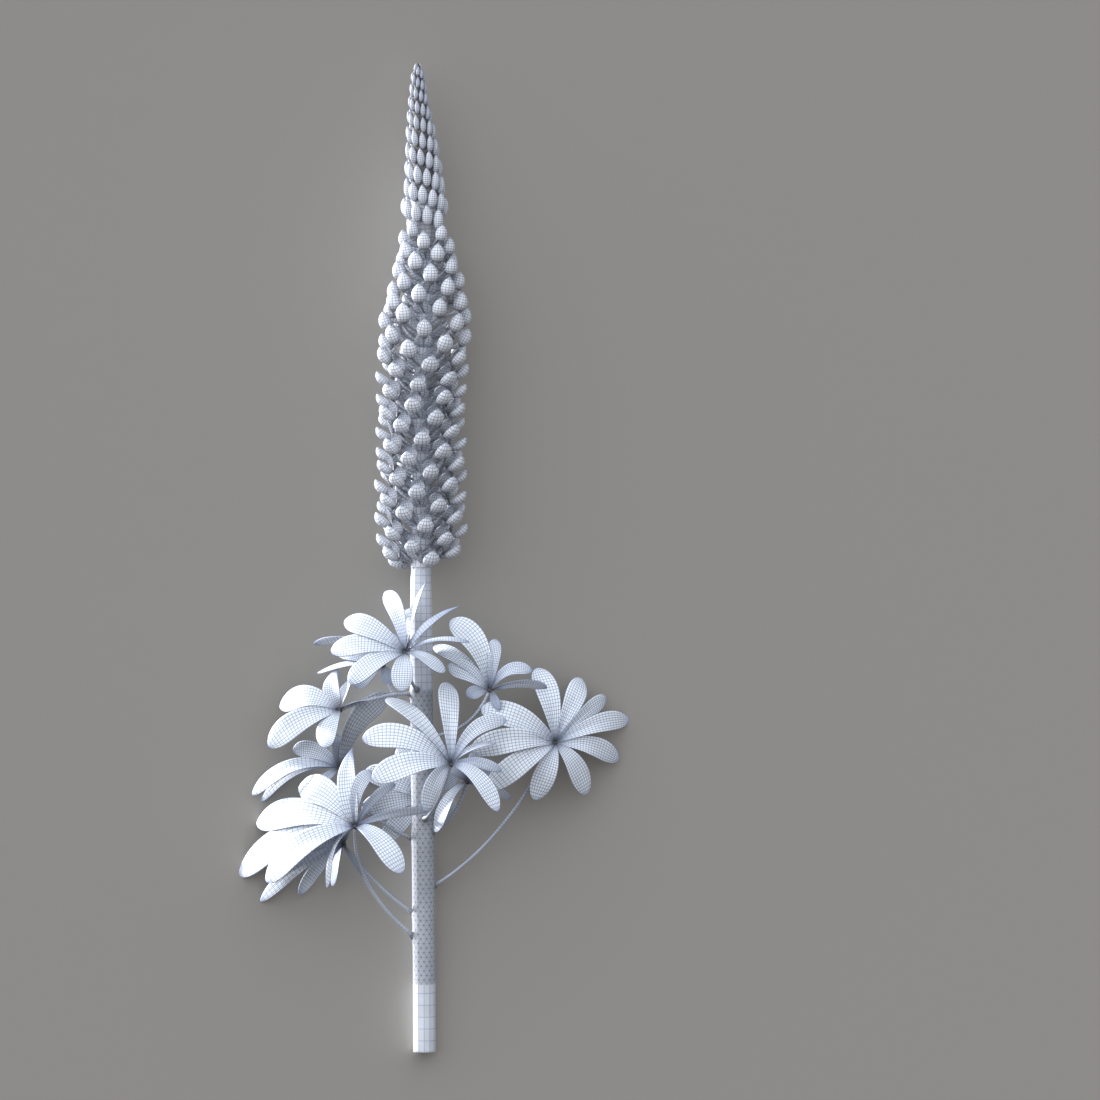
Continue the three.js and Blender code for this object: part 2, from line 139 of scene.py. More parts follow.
# %% The suns and the sky
def sun(name, towards, strength, softness, colour):
    """A sun whose light comes from the direction towards, blurred over an angle in degrees."""
    lamp = bpy.data.lights.new(name, "SUN")
    lamp.energy = strength
    lamp.angle = math.radians(softness)
    lamp.color = colour
    holder = bpy.data.objects.new(name, lamp)
    holder.rotation_euler = Vector(towards).to_track_quat("Z", "Y").to_euler()
    bpy.context.scene.collection.objects.link(holder)
    return holder


def leave_out(piece, linked):
    """Take a piece out of what a light reaches, by its light linking collection."""
    linked.objects.link(piece)
    linked.collection_objects[-1].light_linking.link_state = "EXCLUDE"


key = sun("key", (-0.82, 0.38, -0.43), strength=10, softness=8, colour=(1.0, 0.985, 0.96))
fill = sun("fill", (-0.60, 0.48, 0.64), strength=2.2, softness=60, colour=(0.98, 0.99, 1.0))
not_floor = bpy.data.collections.new("not_floor")
away_from_key = bpy.data.collections.new("away_from_key")
leave_out(floor, not_floor)
leave_out(floor, away_from_key)
key.light_linking.receiver_collection = away_from_key
key.light_linking.blocker_collection = not_floor
fill.light_linking.receiver_collection = not_floor

TIP_SKY = (1.00, 1.05, 1.12, 1)
FOOT_SKY = (0.15, 0.12, 0.09, 1)
SKY_TURNS = {"From Min": -0.8, "From Max": 0.5}
world = bpy.data.worlds.new("studio")
world.use_nodes = True
sky = world.node_tree
sky_place = sky.nodes.new("ShaderNodeTexCoord")
sky_parts = sky.nodes.new("ShaderNodeSeparateXYZ")
sky_share = sky.nodes.new("ShaderNodeMapRange")
sky_share.interpolation_type = "SMOOTHSTEP"
for end, place in SKY_TURNS.items():
    sky_share.inputs[end].default_value = place
sky_mix = sky.nodes.new("ShaderNodeMix")
sky_mix.data_type = "RGBA"
sky_mix.inputs["A"].default_value = FOOT_SKY
sky_mix.inputs["B"].default_value = TIP_SKY
sky.links.new(sky_place.outputs["Generated"], sky_parts.inputs[0])
sky.links.new(sky_parts.outputs["Y"], sky_share.inputs["Value"])
sky.links.new(sky_share.outputs["Result"], sky_mix.inputs["Factor"])
sky.links.new(sky_mix.outputs["Result"], sky.nodes["Background"].inputs["Color"])
sky.nodes["Background"].inputs["Strength"].default_value = 1.0
bpy.context.scene.world = world

# %% [markdown]
# ## One helper for every surface
#
# Blender can make tubes and petals in many ways: curves with a bevel, a screw, a subdivided
# cage. A plant has hundreds of them, all alike but for their numbers, and that is where arrays
# are strong. Each shape here is a stack of rings, held as one array of copies x rings x points.
# A ring may be a circle, for a stalk or a bud, or a flat loop that goes over the top of a leaf
# blade and back along its underside. The helper joins the rings with quads, closes both ends at a
# pole, and counts net cells in the UV map: a whole number of cells round each ring, and more as
# the rings go along.
#
# The net's lines have the same width wherever they run, while its cells narrow towards a leaf's
# foot, so each point also carries how many millimetres one cell measures there.

# %% From rings to skins
NET = "net"
CELL = "cell"


def along_knots(knots, places, eased=False):
    """Values at places of a line through knots [place, value], eased between them if asked."""
    at, values = np.array(knots, float).T
    left = np.clip(np.searchsorted(at, places) - 1, 0, len(at) - 2)
    share = np.clip((places - at[left]) / (at[left + 1] - at[left]), 0, 1)
    share = share * share * (3 - 2 * share) if eased else share
    return values[left] + (values[left + 1] - values[left]) * share


def unit(vectors):
    """Vectors of length one."""
    return vectors / np.linalg.norm(vectors, axis=-1, keepdims=True)


def crosswise(way, out):
    """The two directions square to way: u = way x out and v = u x way."""
    u = unit(np.cross(way, out))
    return u, np.cross(u, way)


def above_floor(points, height=0):
    """The points, with those below a height raised to it."""
    raised = np.array(points, float)
    raised[..., 2] = np.maximum(raised[..., 2], height)
    return raised


def foot_shade(distance, darkness, reach):
    """A tint that is darker close to a foot: 1 - darkness x exp(-(distance / reach)^2)."""
    return 1 - darkness * np.exp(-(distance / reach) ** 2)


def paired(across, along):
    """Two arrays stretched to one shape and set side by side."""
    return np.stack(np.broadcast_arrays(across, along), axis=-1)


def corner_counts(*corners):
    """The UV of a face's corners, each given as its count across and its count along."""
    return np.stack([paired(*corner) for corner in corners], axis=-2)


def skin(rings, around, forward, cell, first, last, tint=1.0):
    """The closed surface over stacks of rings, as points, faces, UVs and cell sizes.

    rings is copies x rows x columns x 3. around is the UV across at each column and once more
    where the ring closes, forward the UV along at each row. Neighbouring points of two rings
    make a quad, and each end ring makes a fan with its pole, first or last. cell is rows x 2 or
    copies x rows x 2, the millimetres of one net cell across and along. tint darkens where it is
    below one: it is one number for all, or one for each row, or one for each point.
    """
    copies, rows, columns, _ = rings.shape
    number = np.arange(copies * rows * columns).reshape(copies, rows, columns)
    beside = np.roll(number, -1, axis=2)
    quads = np.stack([number[:, :-1], beside[:, :-1], beside[:, 1:], number[:, 1:]], axis=-1)
    forward = np.broadcast_to(forward, (copies, rows))
    low, high = forward[:, :-1, None], forward[:, 1:, None]
    left, right = around[:-1], around[1:]
    quad_uv = corner_counts((left, low), (right, low), (right, high), (left, high))
    pole = np.broadcast_to(number.size + np.arange(copies)[:, None], (copies, columns))
    first_fan = np.stack([pole, beside[:, 0], number[:, 0]], axis=-1)
    last_fan = np.stack([pole + copies, number[:, -1], beside[:, -1]], axis=-1)
    middle, start, end = (left + right) / 2, forward[:, :1], forward[:, -1:]
    first_uv = corner_counts((middle, start), (right, start), (left, start))
    last_uv = corner_counts((middle, end), (left, end), (right, end))
    tint = np.asarray(tint, float)
    tint = np.broadcast_to(tint[:, None] if tint.ndim == 1 else tint, (copies, rows, columns))
    size = np.broadcast_to(cell[..., None, :], (copies, rows, columns, 2))
    cells = np.concatenate([size, tint[..., None]], axis=-1)
    made = {
        "points": [rings, first, last], "cells": [cells, cells[:, 0, 0], cells[:, -1, 0]],
        "quads": [quads], "quad_uv": [quad_uv],
        "fans": [first_fan, last_fan], "fan_uv": [first_uv, last_uv],
    }
    shapes = {"points": (3,), "cells": (3,), "quads": (4,), "quad_uv": (4, 2), "fans": (3,),
              "fan_uv": (3, 2)}
    return faced_outwards({part: np.concatenate([a.reshape(-1, *shapes[part]) for a in arrays])
                           for part, arrays in made.items()})


def faced_outwards(made):
    """The skin with every face reversed if its volume, the sum of a . (b x c) / 6, is negative."""
    points, quads, fans = made["points"], made["quads"], made["fans"]
    triangles = np.concatenate([quads[:, [0, 1, 2]], quads[:, [0, 2, 3]], fans])
    a, b, c = (points[triangles[:, k]] for k in range(3))
    volume = np.einsum("ij,ij->", a - a[0], np.cross(b - a[0], c - a[0])) / 6
    if volume < 0:
        for part in ("quads", "quad_uv", "fans", "fan_uv"):
            made[part] = made[part][:, ::-1]
    return made


# %% From skins to a piece on the root body
def add_piece(name, skins, material, replaced=()):
    """One mesh of all the skins, at the origin, riding on the root body."""
    starts = np.cumsum([0] + [len(s["points"]) for s in skins[:-1]])
    points = np.concatenate([s["points"] for s in skins])
    quads = np.concatenate([s["quads"] + n for s, n in zip(skins, starts)])
    fans = np.concatenate([s["fans"] + n for s, n in zip(skins, starts)])
    mesh = bpy.data.meshes.new(name)
    mesh.from_pydata(in_frame(points).tolist(), [], quads.tolist() + fans.tolist())
    uv = [s["quad_uv"].reshape(-1, 2) for s in skins] + [s["fan_uv"].reshape(-1, 2) for s in skins]
    layer = mesh.uv_layers.new(name=NET)
    layer.data.foreach_set("uv", np.concatenate(uv).ravel())
    cells = mesh.attributes.new(CELL, "FLOAT_VECTOR", "POINT")
    cells.data.foreach_set("vector", np.concatenate([s["cells"] for s in skins]).ravel())
    mesh.materials.append(material)
    mesh.shade_smooth()
    piece = bpy.data.objects.new(name, mesh)
    bpy.context.scene.collection.objects.link(piece)
    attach(piece, "root")
    if replaced:
        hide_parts(*replaced)
    print(f"{name}: {2 * len(quads) + len(fans)} triangles")
    return piece


# %% [markdown]
# ## The clay finish with its net
#
# Lines could be drawn as thin tubes or with a wireframe modifier, but that would add millions of
# faces and stand out as wire. As a material they lie in the surface. The distance to the nearest
# line is the distance to the nearest whole number in the UV map, times the millimetres of one
# cell, so a line is as wide on a broad blade as at its narrow foot. Where the cells get smaller
# than a line they run together and go dark, which is what makes a hub of leaflets look dark.
#
# Under the lines the clay has a faint cloudy change of tone and gloss, and a low grain as bump.

# %% Small tools for node trees
LINE_WIDTH = 0.62
LINE_SOFTNESS = 0.3


class Tree:
    """A material's node tree with short calls for the nodes that the finishes use."""

    def __init__(self, name):
        self.material = bpy.data.materials.new(name)
        self.material.use_nodes = True
        self.nodes = self.material.node_tree.nodes
        self.shader = self.nodes["Principled BSDF"]

    def add(self, kind, **settings):
        node = self.nodes.new(kind)
        for setting, value in settings.items():
            setattr(node, setting, value)
        return node

    def plug(self, source, socket):
        if isinstance(source, (int, float)):
            socket.default_value = source
        else:
            self.material.node_tree.links.new(source, socket)

    def maths(self, operation, *sources):
        node = self.add("ShaderNodeMath", operation=operation)
        for source, socket in zip(sources, node.inputs):
            self.plug(source, socket)
        return node.outputs[0]

    def either(self, share, one, other):
        """One number where share is 1 and the other where it is 0."""
        rest = self.maths("SUBTRACT", 1.0, share)
        return self.maths("ADD", self.maths("MULTIPLY", one, share), self.maths("MULTIPLY", other, rest))

    def blend(self, share, one, other):
        """A colour mixed from one to the other."""
        node = self.add("ShaderNodeMix", data_type="RGBA")
        self.plug(share, node.inputs["Factor"])
        for source, socket in ((one, node.inputs["A"]), (other, node.inputs["B"])):
            if isinstance(source, tuple):
                socket.default_value = (*source, 1)
            else:
                self.plug(source, socket)
        return node.outputs["Result"]

    def band(self, value, low, high, to_low, to_high):
        """A value eased from to_low at low to to_high at high."""
        node = self.add("ShaderNodeMapRange", interpolation_type="SMOOTHSTEP")
        for source, socket in zip((value, low, high, to_low, to_high), node.inputs):
            self.plug(source, socket)
        return node.outputs["Result"]

    def line(self, distance):
        """One on a line and zero off it, from the distance to it in millimetres."""
        half = LINE_WIDTH / 2
        return self.band(distance, half - LINE_SOFTNESS / 2, half + LINE_SOFTNESS / 2, 1.0, 0.0)

    def cells(self):
        """The net's two UV counts, and the three numbers of each point's cell attribute."""
        place = self.add("ShaderNodeUVMap", uv_map=NET)
        counts = self.add("ShaderNodeSeparateXYZ")
        self.plug(place.outputs["UV"], counts.inputs[0])
        size = self.add("ShaderNodeAttribute", attribute_name=CELL)
        sizes = self.add("ShaderNodeSeparateXYZ")
        self.plug(size.outputs["Vector"], sizes.inputs[0])
        return (*counts.outputs[:2], *sizes.outputs)

    def to_whole(self, count, size):
        """Millimetres from a UV count to the nearest whole number."""
        return self.maths("MULTIPLY", self.maths("PINGPONG", count, 0.5), size)

    def noise(self, scale, detail):
        """Cloudy noise in the object's own coordinates, with scale in cycles per metre."""
        place = self.add("ShaderNodeTexCoord")
        node = self.add("ShaderNodeTexNoise")
        node.inputs["Scale"].default_value = scale
        node.inputs["Detail"].default_value = detail
        self.plug(place.outputs["Object"], node.inputs["Vector"])
        return node.outputs["Fac"]


# %% The clay finish itself
CLOUD_SCALE = 38
CLOUD_EDGES = (0.3, 0.7)
CLOUD_SHADE = 0.86
GLOSS_SPREAD = 0.05
GRAIN_SCALE = 900
GRAIN_STRENGTH = 0.25
GRAIN_HEIGHT = 0.0004
LINE_DEPTH = 0.6
SPECULAR = 0.35
# The dark tone that a tint blends into: painted shade on most skins, and the dark of crowded lines at the
# hubs.
DARK_CLAY = (0.035, 0.027, 0.02)


def clay(name, colour, line_colour, strength, roughness, net=None):
    """Pale matte clay with a net. net(tree, across, along) gives the mask of its lines.

    Without net they lie at every whole count. The tint blends the clay into its dark tone, which paints
    shade on most skins and the dark of crowded lines at the hubs.
    """
    tree = Tree(name)
    across, along, cell_across, cell_along, tint = tree.cells()
    if net:
        mask = net(tree, across, along)
    else:
        mask = tree.line(tree.maths("MINIMUM", tree.to_whole(across, cell_across),
                                    tree.to_whole(along, cell_along)))
    clouds = tree.band(tree.noise(CLOUD_SCALE, detail=3), *CLOUD_EDGES, 0.0, 1.0)
    ground = tree.blend(clouds, tuple(CLOUD_SHADE * channel for channel in colour), colour)
    ground = tree.blend(tree.maths("MULTIPLY", mask, strength), ground, line_colour)
    dark = tree.maths("SUBTRACT", 1.0, tint)
    tree.plug(tree.blend(dark, ground, DARK_CLAY), tree.shader.inputs["Base Color"])
    tree.plug(tree.band(clouds, 0.0, 1.0, roughness - GLOSS_SPREAD, roughness + GLOSS_SPREAD),
              tree.shader.inputs["Roughness"])
    tree.shader.inputs["Specular IOR Level"].default_value = SPECULAR
    bump = tree.add("ShaderNodeBump")
    bump.inputs["Strength"].default_value = GRAIN_STRENGTH
    bump.inputs["Distance"].default_value = GRAIN_HEIGHT
    grain = tree.noise(GRAIN_SCALE, detail=4)
    tree.plug(tree.maths("SUBTRACT", grain, tree.maths("MULTIPLY", mask, LINE_DEPTH)),
              bump.inputs["Height"])
    tree.plug(bump.outputs["Normal"], tree.shader.inputs["Normal"])
    return tree.material


LINE_COLOUR = (0.13, 0.19, 0.36)
FLOWER_LINE_COLOUR = (0.11, 0.135, 0.21)
leaf_clay = clay("leaf_clay", (0.82, 0.87, 0.93), LINE_COLOUR, strength=0.8, roughness=0.5)
flower_clay = clay("flower_clay", (0.76, 0.79, 0.86), FLOWER_LINE_COLOUR, strength=0.74, roughness=0.6)

# %% [markdown]
# The stalk's net changes along its length: plain quads at the cut end and under the spike, and
# between them small triangles, with a dark dot where six of their lines meet. Its UV map counts
# cells round it and millimetres along it, so the one material holds all three.

# %% The stalk's net
STALK_CELLS = 12
STALK_MEAN_RADIUS = 11.2
STALK_CELL = 2 * math.pi * STALK_MEAN_RADIUS / STALK_CELLS
TRIANGLES_FROM = 69
TRIANGLES_TO = 364
LOW_RING_SPACING = 12.0
HIGH_RING_SPACING = 7.6
TRIANGLE_HEIGHT = 4.6
# Painted shade over the triangle stretch, which lies under the leaves.
TRIANGLES_SHADE = 0.65
SLANT_STRENGTH = 0.7
LEVEL_STRENGTH = 0.55
DOT_STRENGTH = 1.6
DOT_RADIUS = 0.9
DOT_CORE = 0.6


def stalk_net(tree, across, along):
    """Lines at whole cells across and at each ring, or three families that make triangles."""
    upright = tree.to_whole(across, STALK_CELL)
    low, high = (tree.to_whole(tree.maths("DIVIDE", along, spacing), spacing)
                 for spacing in (LOW_RING_SPACING, HIGH_RING_SPACING))
    ring = tree.either(tree.maths("GREATER_THAN", along, TRIANGLES_TO), high, low)
    quads = tree.line(tree.maths("MINIMUM", upright, ring))
    row = tree.maths("DIVIDE", along, TRIANGLE_HEIGHT)
    half_row = tree.maths("DIVIDE", row, 2.0)
    slant = STALK_CELL * TRIANGLE_HEIGHT / math.hypot(STALK_CELL / 2, TRIANGLE_HEIGHT)
    rising = tree.to_whole(tree.maths("ADD", across, half_row), slant)
    falling = tree.to_whole(tree.maths("SUBTRACT", across, half_row), slant)
    level = tree.to_whole(row, TRIANGLE_HEIGHT)
    slants = tree.maths("MULTIPLY", tree.line(tree.maths("MINIMUM", rising, falling)), SLANT_STRENGTH)
    levels = tree.maths("MULTIPLY", tree.line(level), LEVEL_STRENGTH)
    dots = tree.band(tree.maths("MAXIMUM", tree.maths("MAXIMUM", rising, falling), level),
                     DOT_RADIUS * DOT_CORE, DOT_RADIUS, DOT_STRENGTH, 0.0)
    triangles = tree.maths("MAXIMUM", tree.maths("MAXIMUM", slants, levels), dots)
    inside = tree.maths("MULTIPLY", tree.maths("GREATER_THAN", along, TRIANGLES_FROM),
                        tree.maths("LESS_THAN", along, TRIANGLES_TO))
    return tree.either(inside, triangles, quads)


stalk_clay = clay("stalk_clay", (0.60, 0.635, 0.705), LINE_COLOUR, strength=0.62, roughness=0.55,
                  net=stalk_net)

# %% [markdown]
# ## The stalk
#
# A lupin's stalk is a stout tube, slightly ribbed, with a swollen joint where each leaf stalk
# leaves it. A cylinder primitive would be straight and even. Here the rings follow the plant's
# own axis, their radius follows the stalk's knots with twelve faint ribs, and each joint adds a
# low mound that fades with the distance from it. The cut end is flat, with a lip and pale pith.

# %% The plant's axis
def axis_at(heights):
    """Centre, tangent, side and up of the axis at heights, each an array of vectors.

    The centre eases through its knots, the tangent is the slope across one millimetre, side is
    tangent x z and up is side x tangent.
    """
    def place(y):
        return np.stack([along_knots(AXIS_SIDEWAYS, y, eased=True), y,
                         along_knots(AXIS_HEIGHT, y, eased=True)], axis=-1)
    heights = np.asarray(heights, float)
    tangent = unit(place(heights + 0.5) - place(heights - 0.5))
    return place(heights), tangent, *crosswise(tangent, (0, 0, 1))


def outward(side, up, degrees):
    """The direction at an angle round the axis: up at 0 and side at 90 degrees."""
    turn = np.radians(degrees)[..., None]
    return up * np.cos(turn) + side * np.sin(turn)


def tube_rings(centres, side, up, radius, columns):
    """Circles in the planes of side and up: centre + radius x (up cos + side sin)."""
    turn = np.linspace(0, 2 * np.pi, columns, endpoint=False)
    radius = np.asarray(radius)[..., None, None]
    circle = up[..., None, :] * np.cos(turn)[:, None] + side[..., None, :] * np.sin(turn)[:, None]
    return centres[..., None, :] + circle * radius


# %% The leaves' own numbers, which the stalk's joints need too
# Each leaf: its hub, the slopes of its plane, the foot of its stalk as height and angle round
# the stem, and the bend of its stalk. Each leaflet: reach x and y, width, lift of the tip above
# the plane, roll in degrees, sideways sweep of the middle. The leaflets listed as pointed,
# counted from 0, end in a point and the others in a round tip.
LEAVES = {
    "leaf_top_front": {
        "hub": (-15, 402, 92), "slope": (0.15, -0.42), "foot": (365, -25), "bend": (-12, 372, 82),
        "leaflets": [
            (-92, 8, 11, -26, -62, -4), (-74, 1, 22, 4, 0, 0), (-61, 31, 23, 8, 0, 0),
            (-21, 60, 18, -4, -12, 4), (4, 44, 15, -14, -10, 0), (21, 71, 13, 4, -48, 0),
            (55, 46, 10, 8, -30, 0), (64, 11, 12, 4, -45, 0), (40, -19, 19, 6, -38, 0),
            (-3, -38, 22, 0, 0, 0), (-56, -30, 22, 4, 0, 0)],
        "pointed": (5, 6)},
    "leaf_top_back": {
        "hub": (-38, 388, 36), "slope": (0.1, -0.05), "foot": (342, -95), "bend": (-32, 356, 34),
        "leaflets": [
            (-66, -7, 12, -10, 62, 0), (-48, 14, 15, -8, 0, 0), (-22, 34, 15, -4, 0, 0),
            (12, 32, 13, 0, 0, 0), (-28, -22, 14, -6, 0, 0), (8, -19, 14, -2, 0, 0)]},
    "leaf_upper_right": {
        "hub": (69, 364, 62), "slope": (-0.1, -0.3), "foot": (318, 70), "bend": (52, 322, 56),
        "leaflets": [
            (-40, 69, 26, 6, 0, 7), (6, 51, 14, 10, 10, 0), (-42, 25, 21, -12, -10, 0),
            (-57, 43, 15, -28, 0, 0), (-23, -6, 14, -10, -20, 0), (8, -20, 11, -2, 45, 0),
            (42, 19, 13, 6, 0, -7), (57, 2, 12, -2, 60, 0)]},
    "leaf_upper_left": {
        "hub": (-81, 344, 42), "slope": (0.36, -0.3), "foot": (360, -80), "bend": (-34, 362, 40),
        "leaflets": [
            (-61, 2, 27, 0, 15, 6), (-72, -37, 26, -4, -8, 0), (-17, -37, 27, 4, 15, 0),
            (-2, 41, 20, 6, -15, -6), (14, 34, 14, 10, -30, 0), (26, 9, 13, -6, 110, 0)],
        "pointed": (3, 4)},
    "leaf_front": {
        "hub": (31, 291, 100), "slope": (0, -0.5), "foot": (236, 10), "bend": (14, 240, 84),
        "leaflets": [
            (-64, 66, 25, 20, 35, 0), (-4, 81, 22, 0, 20, 0), (55, 43, 16, 6, 20, -7),
            (43, 21, 13, -8, -40, 0), (50, -7, 11, -10, 25, 0), (46, -46, 17, -8, 15, -5),
            (-24, -46, 21, -4, -45, 4), (-78, -15, 26, 8, -10, 0), (-88, 25, 26, 18, -10, 4)]},
    "leaf_middle_left": {
        "hub": (-82, 285, 14), "slope": (0.05, -0.1), "foot": (214, -112), "bend": (-58, 232, 10),
        "leaflets": [
            (-88, -27, 18, -6, 30, 9), (-79, -34, 12, -14, 30, 8), (-47, 18, 18, 0, 0, 4),
            (-3, 34, 18, 4, -130, 0), (49, 73, 25, 16, -150, -6), (-40, -40, 14, -8, 0, 0)]},
    "leaf_right": {
        "hub": (134, 311, 42), "slope": (-0.35, -0.15), "foot": (167, 88), "bend": (81, 208, 24),
        "leaflets": [
            (-74, 34, 26, -2, 0, 0), (-18, 75, 25, -8, 0, 0), (27, 64, 22, -6, 0, 0),
            (52, 44, 18, -8, 20, 0), (74, 22, 20, -14, 0, 0), (64, -18, 21, -16, 0, 0),
            (32, -52, 22, -16, 0, 0), (-20, -57, 24, -12, 0, 0), (-68, -46, 25, -6, 0, 0),
            (-84, -7, 26, -2, 0, 0)]},
    "leaf_lower_right": {
        "hub": (46, 272, 40), "slope": (-0.1, -0.1), "foot": (222, 62), "bend": (34, 230, 36),
        "leaflets": [
            (-32, -50, 20, -4, 55, 4), (43, -18, 13, -6, 40, 0), (36, 8, 16, -4, 0, 0),
            (12, 30, 15, 0, 0, 0), (-20, 20, 14, 6, 0, 0)]},
    "leaf_back": {
        "hub": (6, 254, 6), "slope": (0, 0), "foot": (178, 180), "bend": (2, 200, 5),
        "leaflets": [
            (-63, 27, 23, -4, 0, 0), (-66, -12, 23, -4, 0, 0), (-45, -44, 20, -4, 0, 0),
            (-8, -46, 16, -4, 0, 0), (-30, 52, 20, -4, 0, 0), (4, 52, 18, -2, 0, 0),
            (30, 24, 17, -4, 0, 0), (28, -14, 16, -4, 0, 0)]},
    "leaf_lower_left": {
        "hub": (-65, 228, 56), "slope": (0.4, -0.45), "foot": (116, -78), "bend": (-72, 170, 24),
        "leaflets": [
            (-101, 1, 33, -14, 0, 0), (-118, -51, 32, -34, 0, 0), (-90, -56, 29, -10, 0, 0),
            (-29, -61, 25, -14, 50, 4), (47, -45, 25, -8, -30, -4), (-58, 38, 31, 2, 0, 5),
            (-3, 78, 21, 14, 0, -4), (16, 55, 15, 18, 30, -5), (40, 42, 11, 6, 60, 0),
            (73, 16, 12, -6, 66, 4)],
        "pointed": (6,)},
    "leaf_lowest_left": {
        "hub": (-78, 209, 20), "slope": (0.1, 0), "foot": (139, -100), "bend": (-48, 166, 12),
        "leaflets": [
            (-84, -58, 15, -10, 20, 0), (-45, -51, 13, -8, 0, 0), (22, -34, 12, 2, 110, 0),
            (-66, -12, 16, -10, 0, 0), (-50, 20, 17, -8, 0, 0), (-24, 40, 16, -4, 0, 0),
            (10, 36, 14, -2, 0, 0), (-12, -42, 14, -6, 50, 0)]},
}
feet = np.array([leaf["foot"] for leaf in LEAVES.values()], float)
foot_centre, _, foot_side, foot_up = axis_at(feet[:, 0])
foot_out = outward(foot_side, foot_up, feet[:, 1])
foot_radius = along_knots(STALK_RADIUS, feet[:, 0])
joints = foot_centre + foot_out * foot_radius[:, None]
print(len(joints), "leaf joints on the stalk")

# %% The stalk
STALK_COLUMNS = 60
STALK_ROWS = 210
RIB_HEIGHT = 0.12
JOINT_SWELL = 1.3
JOINT_SPREAD = 5.0
JOINT_DARKNESS = 0.85
JOINT_SHADE_REACH = 3.5
LIP = 0.5
CUT_DEPTHS = [1.2, 1.2, 0.15, 0]
CUT_SHARES = [0.1, 0.55, 0.66, 0.955]
TOP_SHARE = 0.96
OUTSIDE_FROM = 0.9


def stalk_skin():
    """Rings along the axis whose radius is the knots' value, a cosine rib and a mound per joint.

    Both ends turn in over a small lip, and the cut end sinks to its pith in the middle: its
    first rings have a depth and a share of the radius each.
    """
    y = np.linspace(LIP, STALK_LENGTH - 2 * LIP, STALK_ROWS)
    y = np.concatenate([CUT_DEPTHS, y, [STALK_LENGTH - LIP]])
    share = np.concatenate([CUT_SHARES, np.ones(STALK_ROWS), [TOP_SHARE]])
    centre, _, side, up = axis_at(y)
    radius = along_knots(STALK_RADIUS, y) * share
    rings = tube_rings(centre, side, up, radius, STALK_COLUMNS)
    out = unit(rings - centre[:, None])
    turn = np.linspace(0, 2 * np.pi, STALK_COLUMNS, endpoint=False)
    gap = np.linalg.norm(rings[:, :, None] - joints, axis=-1)
    near = np.exp(-(gap / JOINT_SPREAD) ** 2)
    swell = RIB_HEIGHT * np.cos(STALK_CELLS * turn) + JOINT_SWELL * near.sum(axis=-1)
    rings = above_floor(rings + out * (swell * (share > OUTSIDE_FROM)[:, None])[..., None])
    # Painted shade: darker round each leaf joint, and over the triangle stretch under the leaves.
    tint = foot_shade(gap.min(axis=-1), JOINT_DARKNESS, JOINT_SHADE_REACH)
    tint = tint * np.where((y > TRIANGLES_FROM) & (y < TRIANGLES_TO), TRIANGLES_SHADE, 1)[:, None]
    around = np.linspace(0, STALK_CELLS, STALK_COLUMNS + 1)
    cell = np.full((len(y), 2), STALK_CELL)
    return skin(rings[None], around, y, cell, centre[0], centre[-1], tint)


add_piece("stalk", [stalk_skin()], stalk_clay, ["stem"])

# %% [markdown]
# ## The spike
#
# A lupin's spike is a rachis crowded with pea flowers. The lowest are open: each has a boat of
# petals, the keel, that curves out and up from a short stalk, and a hollow pointed petal, the
# banner, behind it. Higher up the flowers are still shut, plump eggs with a pointed tip, and
# the top is two spiral rows of shrinking buds that overlap like scales.
#
# Each of these could be modelled once and instanced on points, but an instance can't stretch
# as it climbs, and the export drops instances. So each kind is one array: all its copies share
# the formula, and their places, sizes and leans are arrays too. A golden angle between one
# flower and the next spreads them evenly round the spike.

# %% The spike's numbers
SPIKE_HALF_WIDTH = [
    [489, 32], [512, 44], [529, 47], [654, 45.5], [694, 46.5], [757, 43.5], [787, 36],
    [818, 28], [854, 22.5], [882, 19], [914, 16], [944, 11.5], [976, 7.5], [994, 3.5]]
RACHIS_RADIUS = [[489, 10.1], [519, 9.4], [574, 8.8], [654, 8], [754, 7], [824, 6.4]]
GOLDEN_ANGLE = 137.508
FIRST_FLOWER = 492
FIRST_TURN = [[640, -117.5], [680, -135.5]]
FLOWER_RISE = 2.55
FLOWERS_OPEN_BELOW = 675
FLOWERS_SHUT_ABOVE = 745
BUDS_BEGIN = 824
FLOWER_WIDTH = [[489, 16.5], [654, 17], [700, 17], [740, 15.5], [787, 14.5], [824, 12]]
FLOWER_LENGTH = [[489, 22.5], [654, 22.5], [720, 22], [824, 20]]
PEDICEL_CLIMB = 9
ROOT_DEPTH = 2
SHUT_LEAN = 10
SHUT_THICKNESS = 0.92
SHUT_INSET = 0.4
OPEN_LEAN = 55
OPEN_THICKNESS = 0.56
OPEN_INSET = 1
WIDEST_AT = 0.5
BASE_DROP = 0.35
ROOT_DROP = 0.3
LEAN_JITTER = 4
SIZE_JITTER = 0.04
chance = np.random.default_rng(7)


def mixed(share, one, other):
    """A value between one and other."""
    return one + (other - one) * share


def leaning(tangent, out, degrees):
    """A direction that rises along the axis and leans out by an angle."""
    lean = np.radians(degrees)[..., None]
    return tangent * np.cos(lean) + out * np.sin(lean)


